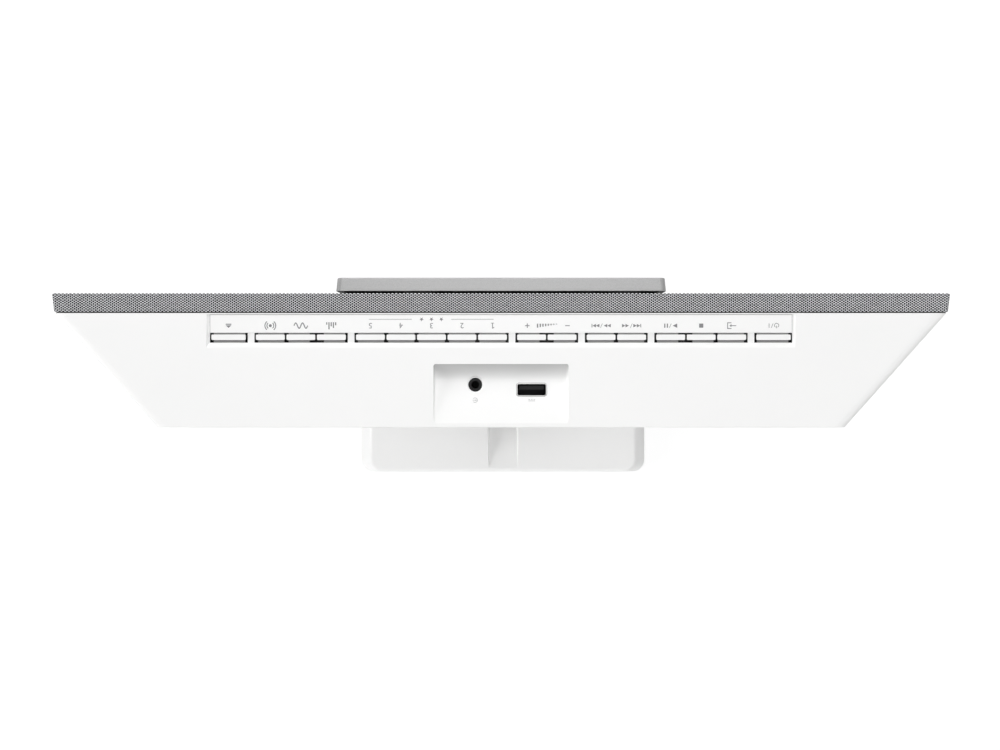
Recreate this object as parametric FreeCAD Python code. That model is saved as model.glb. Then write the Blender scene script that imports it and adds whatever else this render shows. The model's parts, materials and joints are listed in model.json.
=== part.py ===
import FreeCAD, Part
import math
import os

# A slim micro hi-fi system that stands on its foot or hangs on a wall, in millimetres.
# The front looks along -Y, +X is to the right seen from the front, +Z is up.
# The origin lies on the table under the middle of the whole box.

# Overall size
overall_width = 400.0
overall_height = 213.0
overall_depth = 107.0

# Clearances shared by the pieces that meet
overrun = 5.0
running_gap = 0.3
seat_gap = 0.1
shaft_gap = 0.05

# Perforated front grille, a shallow metal tray whose sides draw in towards the rear
grille_depth = 8.55
grille_draft = 0.7
grille_sheet = 0.8
grille_corner = 1.2
grille_edge = 0.5
grille_reveal = 0.45
inner_corner = 0.4

# Rear cabinet, full width at the seam with the grille and narrower at the rear
body_depth = 51.2
body_rear_width = 307.0
body_roll = 5.0
body_roll_drop = 1.6
shell_corner = 2.0
body_wall = 2.6
seam_step = 0.2
rear_edge = 0.4
board_post_radius = 2.5

# Front baffle behind the grille
baffle_plate = 3.0
baffle_rim = 4.5
lip_depth = 3.0
lip_wall = 2.0
case_post_radius = 4.0
case_post_inset = 13.0
case_post_drop = 19.0
case_post_rise = 13.0

# Stand foot
foot_width = 186.3
foot_front = 36.0
foot_thickness = 12.5
foot_corner = 7.9
foot_side_slope = 7.5
foot_end_slope = 1.0
foot_edge = 2.5
neck_height = 3.0
neck_width = 124.0
neck_front = 30.0
neck_back = 4.0
groove_width = 20.6
groove_floor_width = 16.6
groove_end_width = 19.0
groove_depth = 9.5
groove_margin = 3.4
pad_height = 1.5
pad_radius = 6.0
pad_recess = 0.8
pad_inset = 13.0

# Control row on top: a shallow recess with a legend strip, seven key slots and a ramp behind
control_depth = 0.8
control_front = 0.65
control_end_slope = 1.2
control_ramp = 3.0
control_ramp_start = 0.15
control_ramp_skim = 0.04
strip_thickness = 0.5
row_setback = 10.98
key_pitch = 13.6
end_key_width = 16.05
group_gap = 3.8
key_gap = 0.8
key_front_gap = 0.75
key_back_gap = 1.15
row_margin = 0.5
key_depth = 2.45
key_height_above_floor = 0.6
key_corner = 0.5
key_lip = 0.9
flange_depth = 5.6
flange_thickness = 0.8
flange_end = 1.0
flange_notch = 3.2
relief_margin = 1.2
stem_width = 2.0
stem_drop = 2.6
key_travel = 0.4

# Key board under the control row
switch_size = 4.5
switch_height = 2.2
plunger_radius = 1.0
plunger_height = 0.7
board_thickness = 1.6
key_board_depth = 12.0
key_board_front = 4.0
key_board_overhang = 4.0
key_post_setback = 5.4
key_post_radius = 2.0

# Socket pocket at the rear of the top
pocket_width = 60.2
pocket_length = 26.35
pocket_setback = 22.9
pocket_slope = math.radians(11.5)
pocket_scoop_radius = 7.8
pocket_corner = 0.9
jack_x = 11.6
jack_setback = 9.25
jack_nose_radius = 3.05
jack_seat_radius = 3.55
jack_seat_drop = 0.1
jack_seat_flare = 1.2
jack_seat_height = 2.0
jack_nose_drop = 0.2
jack_bore_radius = 1.8
jack_bore_length = 14.0
jack_body_width = 9.0
jack_body_height = 13.0
jack_body_front = 4.5
usb_x = -13.75
usb_setback = 11.5
usb_width = 13.8
usb_thickness = 6.1
usb_wall = 0.5
usb_corner = 1.2
usb_length = 15.0
usb_floor = 2.0
usb_tongue_width = 11.2
usb_tongue_thickness = 1.8
usb_tongue_offset = -0.9
usb_tongue_drop = 1.2

# Rear wall: terminal bay, wall keyholes and vents
bay_width = 84.0
bay_height = 32.0
bay_depth = 14.0
bay_rise = 8.0
keyhole_spacing = 200.0
keyhole_radius = 4.5
keyhole_neck = 2.3
keyhole_length = 9.0
keyhole_drop = 60.0
vent_count = 8
vent_width = 2.2
vent_height = 26.0
vent_pitch = 6.0
vent_drop = 27.0
vent_start = 36.0
inlet_x = -20.0
inlet_width = 22.0
inlet_height = 13.0
inlet_flange = 2.0
inlet_flange_thickness = 1.5
inlet_body_depth = 15.0
inlet_cavity_width = 14.6
inlet_cavity_height = 8.2
inlet_cavity_depth = 12.0
inlet_pin_radius = 1.18
inlet_pin_spacing = 8.6
inlet_pin_short = 2.0
aerial_x = 22.0
aerial_radius = 4.75
aerial_length = 10.0
aerial_shank_radius = 3.5
aerial_contact_radius = 1.0
aerial_contact_depth = 8.0

# Screws
screw_head_radius = 3.0
screw_head_height = 1.4
screw_shank_radius = 1.4
screw_length = 10.0
screw_cross_width = 0.8
screw_cross_depth = 0.8
screw_cross_share = 0.7
stand_screw_x = 50.0
stand_screw_inset = 8.0
stand_boss_radius = 4.5
stand_boss_height = 8.0
stand_head_recess = 5.0

# Sliding disc door
door_width = 150.0
door_height = 164.0
door_depth = 6.0
door_wall = 1.6
door_draft = 0.5
door_corner = 2.5
door_edge = 0.5
door_drop = 8.0
door_clear = 1.25
liner_proud = 1.1
liner_inset = 3.0
liner_bevel = 3.6
door_to_grille = 0.7
arm_width = 12.0
arm_height = 3.0
arm_inset = 12.5
arm_end = 3.0
rail_radius = 1.5
rail_offset = 79.0
slider_height = 6.0
slider_depth = 6.0
rack_reach = 5.0
rail_end_gap = 2.0
rail_bracket = 4.5
bracket_to_lip = 3.0

# Gears: one tooth size serves the door drive and the pickup drive
gear_module = 0.6
pressure_angle = math.radians(20.0)
addendum_share = 0.75
dedendum_share = 1.0
flank_steps = 4
gear_backlash = 0.12
pinion_teeth = 14
wheel_teeth = 40
motor_teeth = 14
wheel_width = 2.5
gear_hub_radius = 3.0
gear_pin_radius = 1.5
gear_end_gap = 0.5

# Motors
door_motor_radius = 10.0
door_motor_length = 18.0
door_motor_angle = math.radians(-40.0)
sled_motor_radius = 8.0
sled_motor_length = 11.0
sled_motor_angle = math.radians(-40.0)
motor_shaft_radius = 1.0
motor_plate = 2.0
motor_plate_margin = 3.0
motor_post_radius = 3.0
motor_post_offset = 12.0
motor_post_low = 9.0
motor_post_high = 4.0

# Disc tray, centred on the disc axis
disc_radius = 60.0
tray_play = 3.5
tray_wall = 2.5
tray_rim = 4.0
tray_flange = 2.5
tray_flange_thickness = 2.0
tray_depth = 10.0
tray_floor = 2.0
tray_chamfer = 2.0
tray_hub_play = 2.0
tray_post_radius = 4.0
tray_post_left = 48.0
tray_post_right = 26.0
tray_post_rise = 32.0

# Turntable and its motor
table_radius = 15.0
table_thickness = 2.0
disc_lift = 2.3
hub_radius = 7.4
hub_height = 2.7
hub_chamfer = 1.0
ball_radius = 1.1
ball_count = 3
ball_stand_out = 0.35
spindle_radius = 1.0
spindle_motor_radius = 11.0
spindle_motor_gap = 1.0

# Drive chassis, pickup and guide rods
chassis_setback = 12.0
chassis_thickness = 2.0
chassis_left = 80.0
chassis_right = 36.0
chassis_top = 38.0
chassis_bottom = 52.0
chassis_corner = 5.0
damper_gap = 3.0
damper_spigot_radius = 2.0
damper_head_radius = 3.2
damper_head_thickness = 1.5
damper_stub_radius = 1.5
damper_stub_length = 4.0
pickup_rest = 23.0
pickup_travel = 35.0
pickup_inner = 9.5
pickup_outer = 11.0
pickup_half_height = 13.5
pickup_gap = 0.8
pickup_depth = 8.7
guide_offset = 18.0
guide_radius = 1.5
guide_setback = 6.0
bearing_half = 4.5
lug_half = 3.5
lug_thickness = 4.0
lug_inner_end = 4.0
lug_outer_gap = 4.0
sled_rack_height = 2.5
sled_rack_width = 4.0
lens_radius = 3.5
lens_height = 2.6
lens_well = 1.0
slot_half_height = 12.0
slot_end_gap = 0.7

# Speakers
basket_radius = 41.0
basket_opening = 34.0
basket_flange = 2.0
basket_shell = 2.0
basket_back_radius = 26.0
basket_depth = 20.0
basket_window = 18.0
basket_windows = 4
basket_window_margin = 3.0
coil_radius = 13.1
coil_wall = 0.6
coil_gap = 0.7
magnet_radius = 27.0
magnet_depth = 16.0
magnet_back = 3.0
cone_radius = 30.0
cone_wall = 0.8
cone_height = 12.0
cap_height = 5.0
roll_wall = 0.6
cone_travel = 1.5

# Display below the door
display_width = 104.0
display_height = 12.0
display_rise = 8.0
window_thickness = 2.0
display_border = 2.0
display_depth = 7.0

# Circuit boards
main_board_width = 116.0
main_board_bottom = 7.0
main_board_top = 3.0
main_post_inset = 8.0
power_board_width = 112.0
power_board_height = 36.0
power_post_inset = 6.0
heatsink_width = 60.0
heatsink_height = 34.0
heatsink_base = 2.0
heatsink_fin = 1.2
heatsink_fins = 10
heatsink_depth = 9.0
chip_width = 16.0
chip_thickness = 1.4
capacitor_radius = 5.0
capacitor_height = 12.0
transformer_width = 26.0
transformer_height = 22.0
transformer_depth = 14.0
heatsink_shares = (0.0, 0.62)
chip_shares = ((-0.28, 0.22), (0.24, 0.2), (0.0, 0.36))
capacitor_shares = ((0.36, 0.38), (0.36, 0.55), (-0.38, 0.4))
transformer_share = -0.24
power_capacitor_shares = (0.1, 0.24, 0.38)

# Stations along Y, from the door to the rear
door_front = -overall_depth / 2
door_back = door_front + door_depth
liner_back = door_back + liner_proud
grille_front = liner_back + door_to_grille
baffle_front = grille_front + grille_sheet
baffle_back = baffle_front + baffle_plate
seam = grille_front + grille_depth
rear = seam + body_depth
rear_inside = rear - body_wall
foot_back = overall_depth / 2
slider_front = baffle_back + running_gap
slider_back = slider_front + slider_depth
rail_y = slider_front + slider_depth / 2
floor_front = grille_front + tray_depth
floor_back = floor_front + tray_floor
chassis_front = floor_back + chassis_setback
chassis_back = chassis_front + chassis_thickness
tray_post_back = chassis_front - damper_gap
wheel_front = floor_back + gear_end_gap
row_y = seam + row_setback
pocket_front = seam + pocket_setback
pocket_back = pocket_front + pocket_length
bay_floor = rear - bay_depth
power_board_back = bay_floor - inlet_body_depth

# Stations along Z, from the table up
foot_top = pad_height + foot_thickness
grille_bottom = foot_top + neck_height
grille_middle = (grille_bottom + overall_height) / 2
grille_half_height = (overall_height - grille_bottom) / 2
cabinet_half_height = grille_half_height - grille_draft - seam_step
cabinet_top = grille_middle + cabinet_half_height
cabinet_bottom = grille_middle - cabinet_half_height
inner_top = cabinet_top - body_wall
inner_bottom = cabinet_bottom + body_wall
door_top = overall_height - door_drop
disc_z = door_top - door_height / 2
upper_rail_z = disc_z + rail_offset
lower_rail_z = disc_z - rail_offset
control_floor = cabinet_top - control_depth
lip_underside = control_floor - key_lip
flange_top = lip_underside - seat_gap
flange_bottom = flange_top - flange_thickness
key_top = control_floor + key_height_above_floor
stem_bottom = flange_bottom - stem_drop
key_board_top = stem_bottom - key_travel - seat_gap - plunger_height - switch_height
pocket_grade = math.tan(pocket_slope)
scoop_lift = pocket_scoop_radius / math.cos(pocket_slope) - pocket_length * pocket_grade
scoop_span = pocket_scoop_radius ** 2 * (1 + pocket_grade ** 2) - scoop_lift ** 2
scoop_reach = (math.sqrt(scoop_span) - scoop_lift * pocket_grade) / (1 + pocket_grade ** 2)
scoop_z = cabinet_top + scoop_lift + scoop_reach * pocket_grade
pocket_floor = scoop_z - pocket_scoop_radius
display_bottom = grille_bottom + display_rise
bay_bottom = cabinet_bottom + bay_rise
bay_middle = bay_bottom + bay_height / 2
keyhole_z = cabinet_top - keyhole_drop

# Half widths of the cabinet, which narrows towards the rear
front_half = overall_width / 2 - grille_draft - seam_step
rear_half = body_rear_width / 2
side_slope = (front_half - rear_half) / body_depth
side_wall = body_wall * math.hypot(1.0, side_slope)

# Radii of the disc tray
tray_inner_radius = disc_radius + tray_play
tray_rim_radius = tray_inner_radius + tray_rim
tray_cup_radius = tray_inner_radius + tray_wall
tray_flange_radius = tray_rim_radius + tray_flange
tray_hub_hole = table_radius + tray_hub_play

# Gear sizes and places
gear_pitch = math.pi * gear_module
pinion_radius = gear_module * pinion_teeth / 2
wheel_radius = gear_module * wheel_teeth / 2
motor_gear_radius = gear_module * motor_teeth / 2
gear_distance = wheel_radius + motor_gear_radius
tooth_height = gear_module * (addendum_share + dedendum_share)
dedendum = gear_module * dedendum_share

# Socket places on top
jack_y = pocket_front + jack_setback
usb_y = pocket_front + usb_setback
main_board_front = usb_y + usb_thickness / 2


def vector(x, y, z):
    return FreeCAD.Vector(x, y, z)


def outer_half(y):
    return front_half - side_slope * (y - seam)


def inner_half(y):
    return outer_half(y) - side_wall


def pocket_level(y):
    return cabinet_top - (pocket_back - y) * pocket_grade


# Tops of the two sockets in the sloping floor of the pocket
usb_top = pocket_level(usb_y - usb_thickness / 2) - seat_gap
jack_top = pocket_level(jack_y) - jack_nose_drop

# Places along X that follow from the cabinet's width and the door's travel
lip_inner_half = inner_half(slider_back) - lip_wall
rail_right = lip_inner_half - bracket_to_lip
door_travel = door_width / 2 + disc_radius + door_clear
rack_right = rail_right - rail_bracket - rail_end_gap - door_travel
door_gear_x = rack_right - rack_reach
rack_left = door_gear_x - rack_reach - door_travel
rail_left = rack_left - rail_end_gap - rail_bracket
rack_root_z = upper_rail_z - slider_height / 2
door_gear_z = rack_root_z - dedendum - pinion_radius
door_motor_x = door_gear_x + gear_distance * math.cos(door_motor_angle)
door_motor_z = door_gear_z + gear_distance * math.sin(door_motor_angle)
left_arm_x = -door_width / 2 + arm_inset
right_arm_x = rack_right - arm_end - arm_width
speaker_x = (tray_flange_radius + lip_inner_half) / 2
speaker_z = grille_middle
case_post_x = inner_half(rear_inside) - case_post_inset
upper_post_z = upper_rail_z - case_post_drop
lower_post_z = inner_bottom + case_post_rise
motor_plate_front = wheel_front + wheel_width + gear_end_gap
motor_plate_back = motor_plate_front + motor_plate

# Places in the pickup drive, measured from the disc axis
pickup_right = -pickup_rest + pickup_inner
pickup_left = -pickup_rest - pickup_outer
pickup_front = floor_back + pickup_gap
pickup_back = pickup_front + pickup_depth
guide_y = floor_back + guide_setback
sled_gear_x = pickup_left + rack_reach
sled_rack_right = sled_gear_x + pickup_travel + rack_reach
sled_rack_root_z = disc_z - guide_offset - bearing_half - sled_rack_height
sled_gear_z = sled_rack_root_z - dedendum - pinion_radius
sled_rack_front = guide_y - sled_rack_width / 2
sled_rack_back = guide_y + sled_rack_width / 2
sled_motor_x = sled_gear_x + gear_distance * math.cos(sled_motor_angle)
sled_motor_z = sled_gear_z + gear_distance * math.sin(sled_motor_angle)
sled_wheel_front = chassis_back + gear_end_gap
guide_left = pickup_left - pickup_travel - lug_outer_gap - lug_thickness
guide_right = lug_inner_end + lug_thickness

# Keys from the right end of the row to the left, in groups
key_groups = (
    ("eject",),
    ("surround", "bass", "sound_field"),
    ("favourite_5", "favourite_4", "favourite_3", "favourite_2", "favourite_1"),
    ("volume_up", "volume_down"),
    ("skip_forward", "skip_back"),
    ("play_pause", "stop", "selector"),
    ("power",),
)
notched_pairs = (("bass", "sound_field"), ("volume_up", "volume_down"), ("play_pause", "stop"))
end_keys = ("eject", "power")


def box(x0, x1, y0, y1, z0, z1):
    return Part.makeBox(x1 - x0, y1 - y0, z1 - z0, vector(x0, y0, z0))


def rod_x(radius, x0, x1, y, z):
    return Part.makeCylinder(radius, x1 - x0, vector(x0, y, z), vector(1, 0, 0))


def rod_y(radius, y0, y1, x, z):
    return Part.makeCylinder(radius, y1 - y0, vector(x, y0, z), vector(0, 1, 0))


def rod_z(radius, z0, z1, x, y):
    return Part.makeCylinder(radius, z1 - z0, vector(x, y, z0), vector(0, 0, 1))


def joined(first, others):
    return first.fuse(list(others)).removeSplitter()


def rounded_wire(half_u, half_v, radius, place):
    # A rectangle with round corners, mapped into space by place(u, v)
    flat_u = half_u - radius
    flat_v = half_v - radius
    diagonal = radius * math.sqrt(0.5)
    edges = []
    corners = ((1, 1), (-1, 1), (-1, -1), (1, -1))
    arcs = []
    for index, (su, sv) in enumerate(corners):
        start = (su * half_u, sv * flat_v)
        end = (su * flat_u, sv * half_v)
        if index % 2:
            start, end = end, start
        middle = (su * (flat_u + diagonal), sv * (flat_v + diagonal))
        arcs.append((place(*start), place(*middle), place(*end)))
    for index, (start, middle, end) in enumerate(arcs):
        following = arcs[(index + 1) % len(arcs)][0]
        edges.append(Part.Arc(start, middle, end).toShape())
        edges.append(Part.LineSegment(end, following).toShape())
    return Part.Wire(edges)


def front_wire(half_width, half_height, radius, y, z):
    return rounded_wire(half_width, half_height, radius, lambda u, v: vector(u, y, z + v))


def plan_wire(half_width, half_length, radius, y, z):
    return rounded_wire(half_width, half_length, radius, lambda u, v: vector(u, y + v, z))


def rolled_wire(half_width, y):
    # The cabinet's outline across Y: a rectangle whose corners roll over in flat elliptical arcs
    flat_x = half_width - body_roll
    flat_z = cabinet_half_height - body_roll_drop
    arcs = []
    for index, (sx, sz) in enumerate(((1, 1), (-1, 1), (-1, -1), (1, -1))):
        start = vector(sx * half_width, y, grille_middle + sz * flat_z)
        end = vector(sx * flat_x, y, grille_middle + sz * cabinet_half_height)
        if index % 2:
            start, end = end, start
        corner = vector(sx * half_width, y, grille_middle + sz * cabinet_half_height)
        arcs.append((start, corner, end))
    edges = []
    for index, (start, corner, end) in enumerate(arcs):
        curve = Part.BezierCurve()
        curve.setPoles([start, corner, end])
        curve.setWeight(2, math.sqrt(0.5))
        edges.append(curve.toShape())
        edges.append(Part.LineSegment(end, arcs[(index + 1) % len(arcs)][0]).toShape())
    return Part.Wire(edges)


def loft(first, last):
    return Part.makeLoft([first, last], True, True)


def edges_at(shape, test):
    return [edge for edge in shape.Edges if all(test(vertex.Point) for vertex in edge.Vertexes)]


def extruded(points, direction):
    wire = Part.makePolygon(list(points) + [points[0]])
    return Part.Face(wire).extrude(direction)


def revolved(points, x, z):
    # A solid of revolution about an axis along Y, from (radius, y) points
    placed = [vector(x + radius, y, z) for radius, y in points]
    face = Part.Face(Part.makePolygon(placed + [placed[0]]))
    return face.revolve(vector(x, 0, z), vector(0, 1, 0), 360)


def grille_inset(y):
    return grille_draft * (y - grille_front) / grille_depth


def grille_block(y0, y1, inset):
    # The inside of the drawn-in grille tray between two planes, moved in by inset
    wires = []
    for y in (y0, y1):
        draw = grille_inset(y) + inset
        radius = max(grille_corner - inset, inner_corner)
        half_width = overall_width / 2 - draw
        half_height = grille_half_height - draw
        wires.append(front_wire(half_width, half_height, radius, y, grille_middle))
    return loft(*wires)


def cabinet_block(y0, y1, inset):
    # The inside of the tapering cabinet between two planes, moved in by inset from its inner faces
    wires = []
    half_height = cabinet_half_height - body_wall - inset
    for y in (y0, y1):
        wires.append(front_wire(inner_half(y) - inset, half_height, shell_corner, y, grille_middle))
    return loft(*wires)


def gear_outline(teeth, x, z, y, tooth_angle):
    # An involute spur gear across Y with one tooth centred on tooth_angle
    pitch_radius = gear_module * teeth / 2
    base_radius = pitch_radius * math.cos(pressure_angle)
    tip_radius = pitch_radius + gear_module * addendum_share
    root_radius = pitch_radius - dedendum
    start_radius = max(base_radius, root_radius)
    half_tooth = (gear_pitch / 2 - gear_backlash) / (2 * pitch_radius)
    rolled = half_tooth + math.tan(pressure_angle) - pressure_angle
    flank = [(root_radius, rolled)]
    for step in range(flank_steps + 1):
        radius = start_radius + (tip_radius - start_radius) * step / flank_steps
        swing = math.acos(min(1.0, base_radius / radius))
        flank.append((radius, rolled - (math.tan(swing) - swing)))
    points = []
    for tooth in range(teeth):
        centre = tooth_angle + 2 * math.pi * tooth / teeth
        profile = [(radius, centre - half) for radius, half in flank]
        profile += [(radius, centre + half) for radius, half in reversed(flank)]
        points += [vector(x + r * math.cos(a), y, z + r * math.sin(a)) for r, a in profile]
    return points


def gear(teeth, x, z, y0, y1, tooth_angle):
    return extruded(gear_outline(teeth, x, z, y0, tooth_angle), vector(0, y1 - y0, 0))


def toothed_bar(x0, x1, y0, y1, root_z, top_z, gap_x):
    # A bar with rack teeth below it and a tooth gap centred on gap_x
    spread = math.tan(pressure_angle)
    half_pitch_tooth = (gear_pitch / 2 - gear_backlash) / 2
    half_root = half_pitch_tooth + dedendum * spread
    half_tip = half_pitch_tooth - gear_module * addendum_share * spread
    tip_z = root_z - tooth_height
    first = math.ceil((x0 + gear_pitch / 2 - gap_x) / gear_pitch - 0.5)
    last = math.floor((x1 - gear_pitch / 2 - gap_x) / gear_pitch - 0.5)
    points = [vector(x0, y0, top_z), vector(x0, y0, root_z)]
    for index in range(first, last + 1):
        centre = gap_x + (index + 0.5) * gear_pitch
        points.append(vector(centre - half_root, y0, root_z))
        points.append(vector(centre - half_tip, y0, tip_z))
        points.append(vector(centre + half_tip, y0, tip_z))
        points.append(vector(centre + half_root, y0, root_z))
    points += [vector(x1, y0, root_z), vector(x1, y0, top_z)]
    return extruded(points, vector(0, y1 - y0, 0))


def key_layout():
    # Each key's name, left and right edge, with the group slots, from the right end of the row
    widths = [sum(end_key_width if name in end_keys else key_pitch for name in group) for group in key_groups]
    row_width = sum(widths) + group_gap * (len(key_groups) - 1)
    x = row_width / 2
    keys = {}
    slots = []
    for group, width in zip(key_groups, widths):
        slots.append((x - width, x))
        for name in group:
            key_width = end_key_width if name in end_keys else key_pitch
            keys[name] = (x - key_width, x)
            x -= key_width
        x -= group_gap
    return keys, slots, row_width


def key_has_notch(name, side):
    # Whether a key's flange is cut back on its right or left end
    return any(pair[side] == name for pair in notched_pairs)


def stand_screw_places():
    front = -neck_front + stand_screw_inset
    back = neck_back - stand_screw_inset
    return [(x, y) for x in (-stand_screw_x, stand_screw_x) for y in (front, back)]


def case_screw_places():
    return [(x, z) for x in (-case_post_x, case_post_x) for z in (lower_post_z, upper_post_z)]


def main_post_places():
    half = main_board_width / 2 - main_post_inset
    low = main_board_low() + main_post_inset
    high = main_board_high() - main_post_inset
    return [(x, z) for x in (-half, half) for z in (low, high)]


def power_post_places():
    half = bay_width / 2 - power_post_inset
    reach = bay_height / 2 - power_post_inset
    return [(x, bay_middle + dz) for x in (-half, half) for dz in (-reach, reach)]


def tray_post_places():
    heights = (disc_z - tray_post_rise, disc_z + tray_post_rise)
    return [(x, z) for x in (-tray_post_left, tray_post_right) for z in heights]


def key_post_places():
    keys, slots, row_width = key_layout()
    reach = row_width / 2 - end_key_width
    return [(x, row_y + key_post_setback) for x in (-reach, 0, reach)]


def pad_places():
    half = foot_width / 2 - pad_inset
    return [(x, y) for x in (-half, half) for y in (-foot_front + pad_inset, foot_back - pad_inset)]


def main_board_low():
    return bay_bottom + bay_height + main_board_bottom


def main_board_high():
    return pocket_floor - body_wall - main_board_top


def control_recess(row_width):
    # The recess runs from just behind the seam, past the key slots, and ramps up in an arc at the rear
    half = row_width / 2 + row_margin
    front = seam + control_front
    ramp_foot = row_y + key_depth / 2 + key_back_gap + control_ramp_start
    ramp_end = ramp_foot + control_ramp
    ramp_rise = control_depth + control_ramp_skim
    ramp_radius = (control_ramp ** 2 + ramp_rise ** 2) / (2 * ramp_rise)
    ramp_turn = math.asin(control_ramp / ramp_radius) / 2
    wide = half + 2 * control_end_slope

    def point(y, z):
        return vector(-wide, y, z)

    front_top = point(front, cabinet_top + overrun)
    front_foot = point(front, control_floor)
    ramp_start = point(ramp_foot, control_floor)
    ramp_middle = point(ramp_end - ramp_radius * math.sin(ramp_turn),
                        control_floor + ramp_rise - ramp_radius * (1 - math.cos(ramp_turn)))
    ramp_top = point(ramp_end, control_floor + ramp_rise)
    back_top = point(ramp_end, cabinet_top + overrun)
    edges = [
        Part.LineSegment(front_top, front_foot).toShape(),
        Part.LineSegment(front_foot, ramp_start).toShape(),
        Part.Arc(ramp_start, ramp_middle, ramp_top).toShape(),
        Part.LineSegment(ramp_top, back_top).toShape(),
        Part.LineSegment(back_top, front_top).toShape(),
    ]
    block = Part.Face(Part.Wire(edges)).extrude(vector(2 * wide, 0, 0))
    rise = 2 * control_depth
    sloping_ends = extruded([
        vector(-half, front - overrun, control_floor),
        vector(half, front - overrun, control_floor),
        vector(half + 2 * control_end_slope, front - overrun, control_floor + rise),
        vector(-half - 2 * control_end_slope, front - overrun, control_floor + rise),
    ], vector(0, ramp_end - front + 2 * overrun, 0))
    return block.common(sloping_ends)


def keyhole(x):
    # A round entry with a narrow neck above it, cut through the rear wall
    entry = rod_y(keyhole_radius, rear_inside - overrun, rear + overrun, x, keyhole_z)
    neck_top = keyhole_z + keyhole_length
    neck = box(x - keyhole_neck, x + keyhole_neck, rear_inside - overrun, rear + overrun, keyhole_z, neck_top)
    end = rod_y(keyhole_neck, rear_inside - overrun, rear + overrun, x, neck_top)
    return entry.fuse([neck, end])


def pocket_scoop():
    # The pocket falls in an arc from its front edge and rises to the top as a straight slope
    half = pocket_width / 2
    rise_end = pocket_back + overrun
    front_angle = -math.asin(scoop_reach / pocket_scoop_radius)

    def point(y, z):
        return vector(-half, y, z)

    def on_arc(angle):
        return point(pocket_front + scoop_reach + pocket_scoop_radius * math.sin(angle),
                     scoop_z - pocket_scoop_radius * math.cos(angle))

    front_top = point(pocket_front, cabinet_top + 2 * overrun)
    arc_start = on_arc(front_angle)
    arc_middle = on_arc((front_angle + pocket_slope) / 2)
    arc_end = on_arc(pocket_slope)
    slope_end = point(rise_end, pocket_level(rise_end))
    back_top = point(rise_end, cabinet_top + 2 * overrun)
    edges = [
        Part.LineSegment(front_top, arc_start).toShape(),
        Part.Arc(arc_start, arc_middle, arc_end).toShape(),
        Part.LineSegment(arc_end, slope_end).toShape(),
        Part.LineSegment(slope_end, back_top).toShape(),
        Part.LineSegment(back_top, front_top).toShape(),
    ]
    block = Part.Face(Part.Wire(edges)).extrude(vector(pocket_width, 0, 0))
    ends = [edge for edge in block.Edges
            if edge.BoundBox.XLength < pocket_corner and edge.BoundBox.ZMin < cabinet_top - seat_gap]
    return block.makeFillet(pocket_corner, ends)


def jack_seat():
    # A flared seat square to the pocket's slope, which cuts into the arc in front of the jack
    square = vector(0, -math.sin(pocket_slope), math.cos(pocket_slope))
    middle = vector(jack_x, jack_y, pocket_level(jack_y)) - square * jack_seat_drop
    rim = jack_seat_radius + jack_seat_flare
    return Part.makeCone(jack_seat_radius, rim, jack_seat_height, middle, square)


def usb_block(inset, z0, z1):
    # The USB socket's round-cornered outline, moved in by inset, between two heights
    wire = rounded_wire(usb_width / 2 - inset, usb_thickness / 2 - inset, usb_corner - inset,
                        lambda u, v: vector(usb_x + u, usb_y + v, z0))
    return Part.Face(wire).extrude(vector(0, 0, z1 - z0))


def cabinet_additions():
    # Pocket box, terminal bay box, screw bosses and board posts inside the shell
    pocket_half = pocket_width / 2 + body_wall
    bay_half = bay_width / 2 + body_wall
    middle_of_wall = rear - body_wall / 2
    pieces = [
        box(-pocket_half, pocket_half, pocket_front - body_wall, middle_of_wall,
            pocket_floor - body_wall, cabinet_top - body_wall / 2),
        box(-bay_half, bay_half, bay_floor - body_wall, middle_of_wall,
            bay_bottom - body_wall, bay_bottom + bay_height + body_wall),
    ]
    for x, y in stand_screw_places():
        pieces.append(rod_z(stand_boss_radius, cabinet_bottom + body_wall / 2,
                            inner_bottom + stand_boss_height, x, y))
    for x, z in main_post_places():
        pieces.append(rod_y(board_post_radius, main_board_front + board_thickness, middle_of_wall, x, z))
    for x, z in power_post_places():
        pieces.append(rod_y(board_post_radius, power_board_back, bay_floor - body_wall / 2, x, z))
    for x, y in key_post_places():
        pieces.append(rod_z(key_post_radius, key_board_top, cabinet_top - body_wall / 2, x, y))
    return pieces


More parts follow.
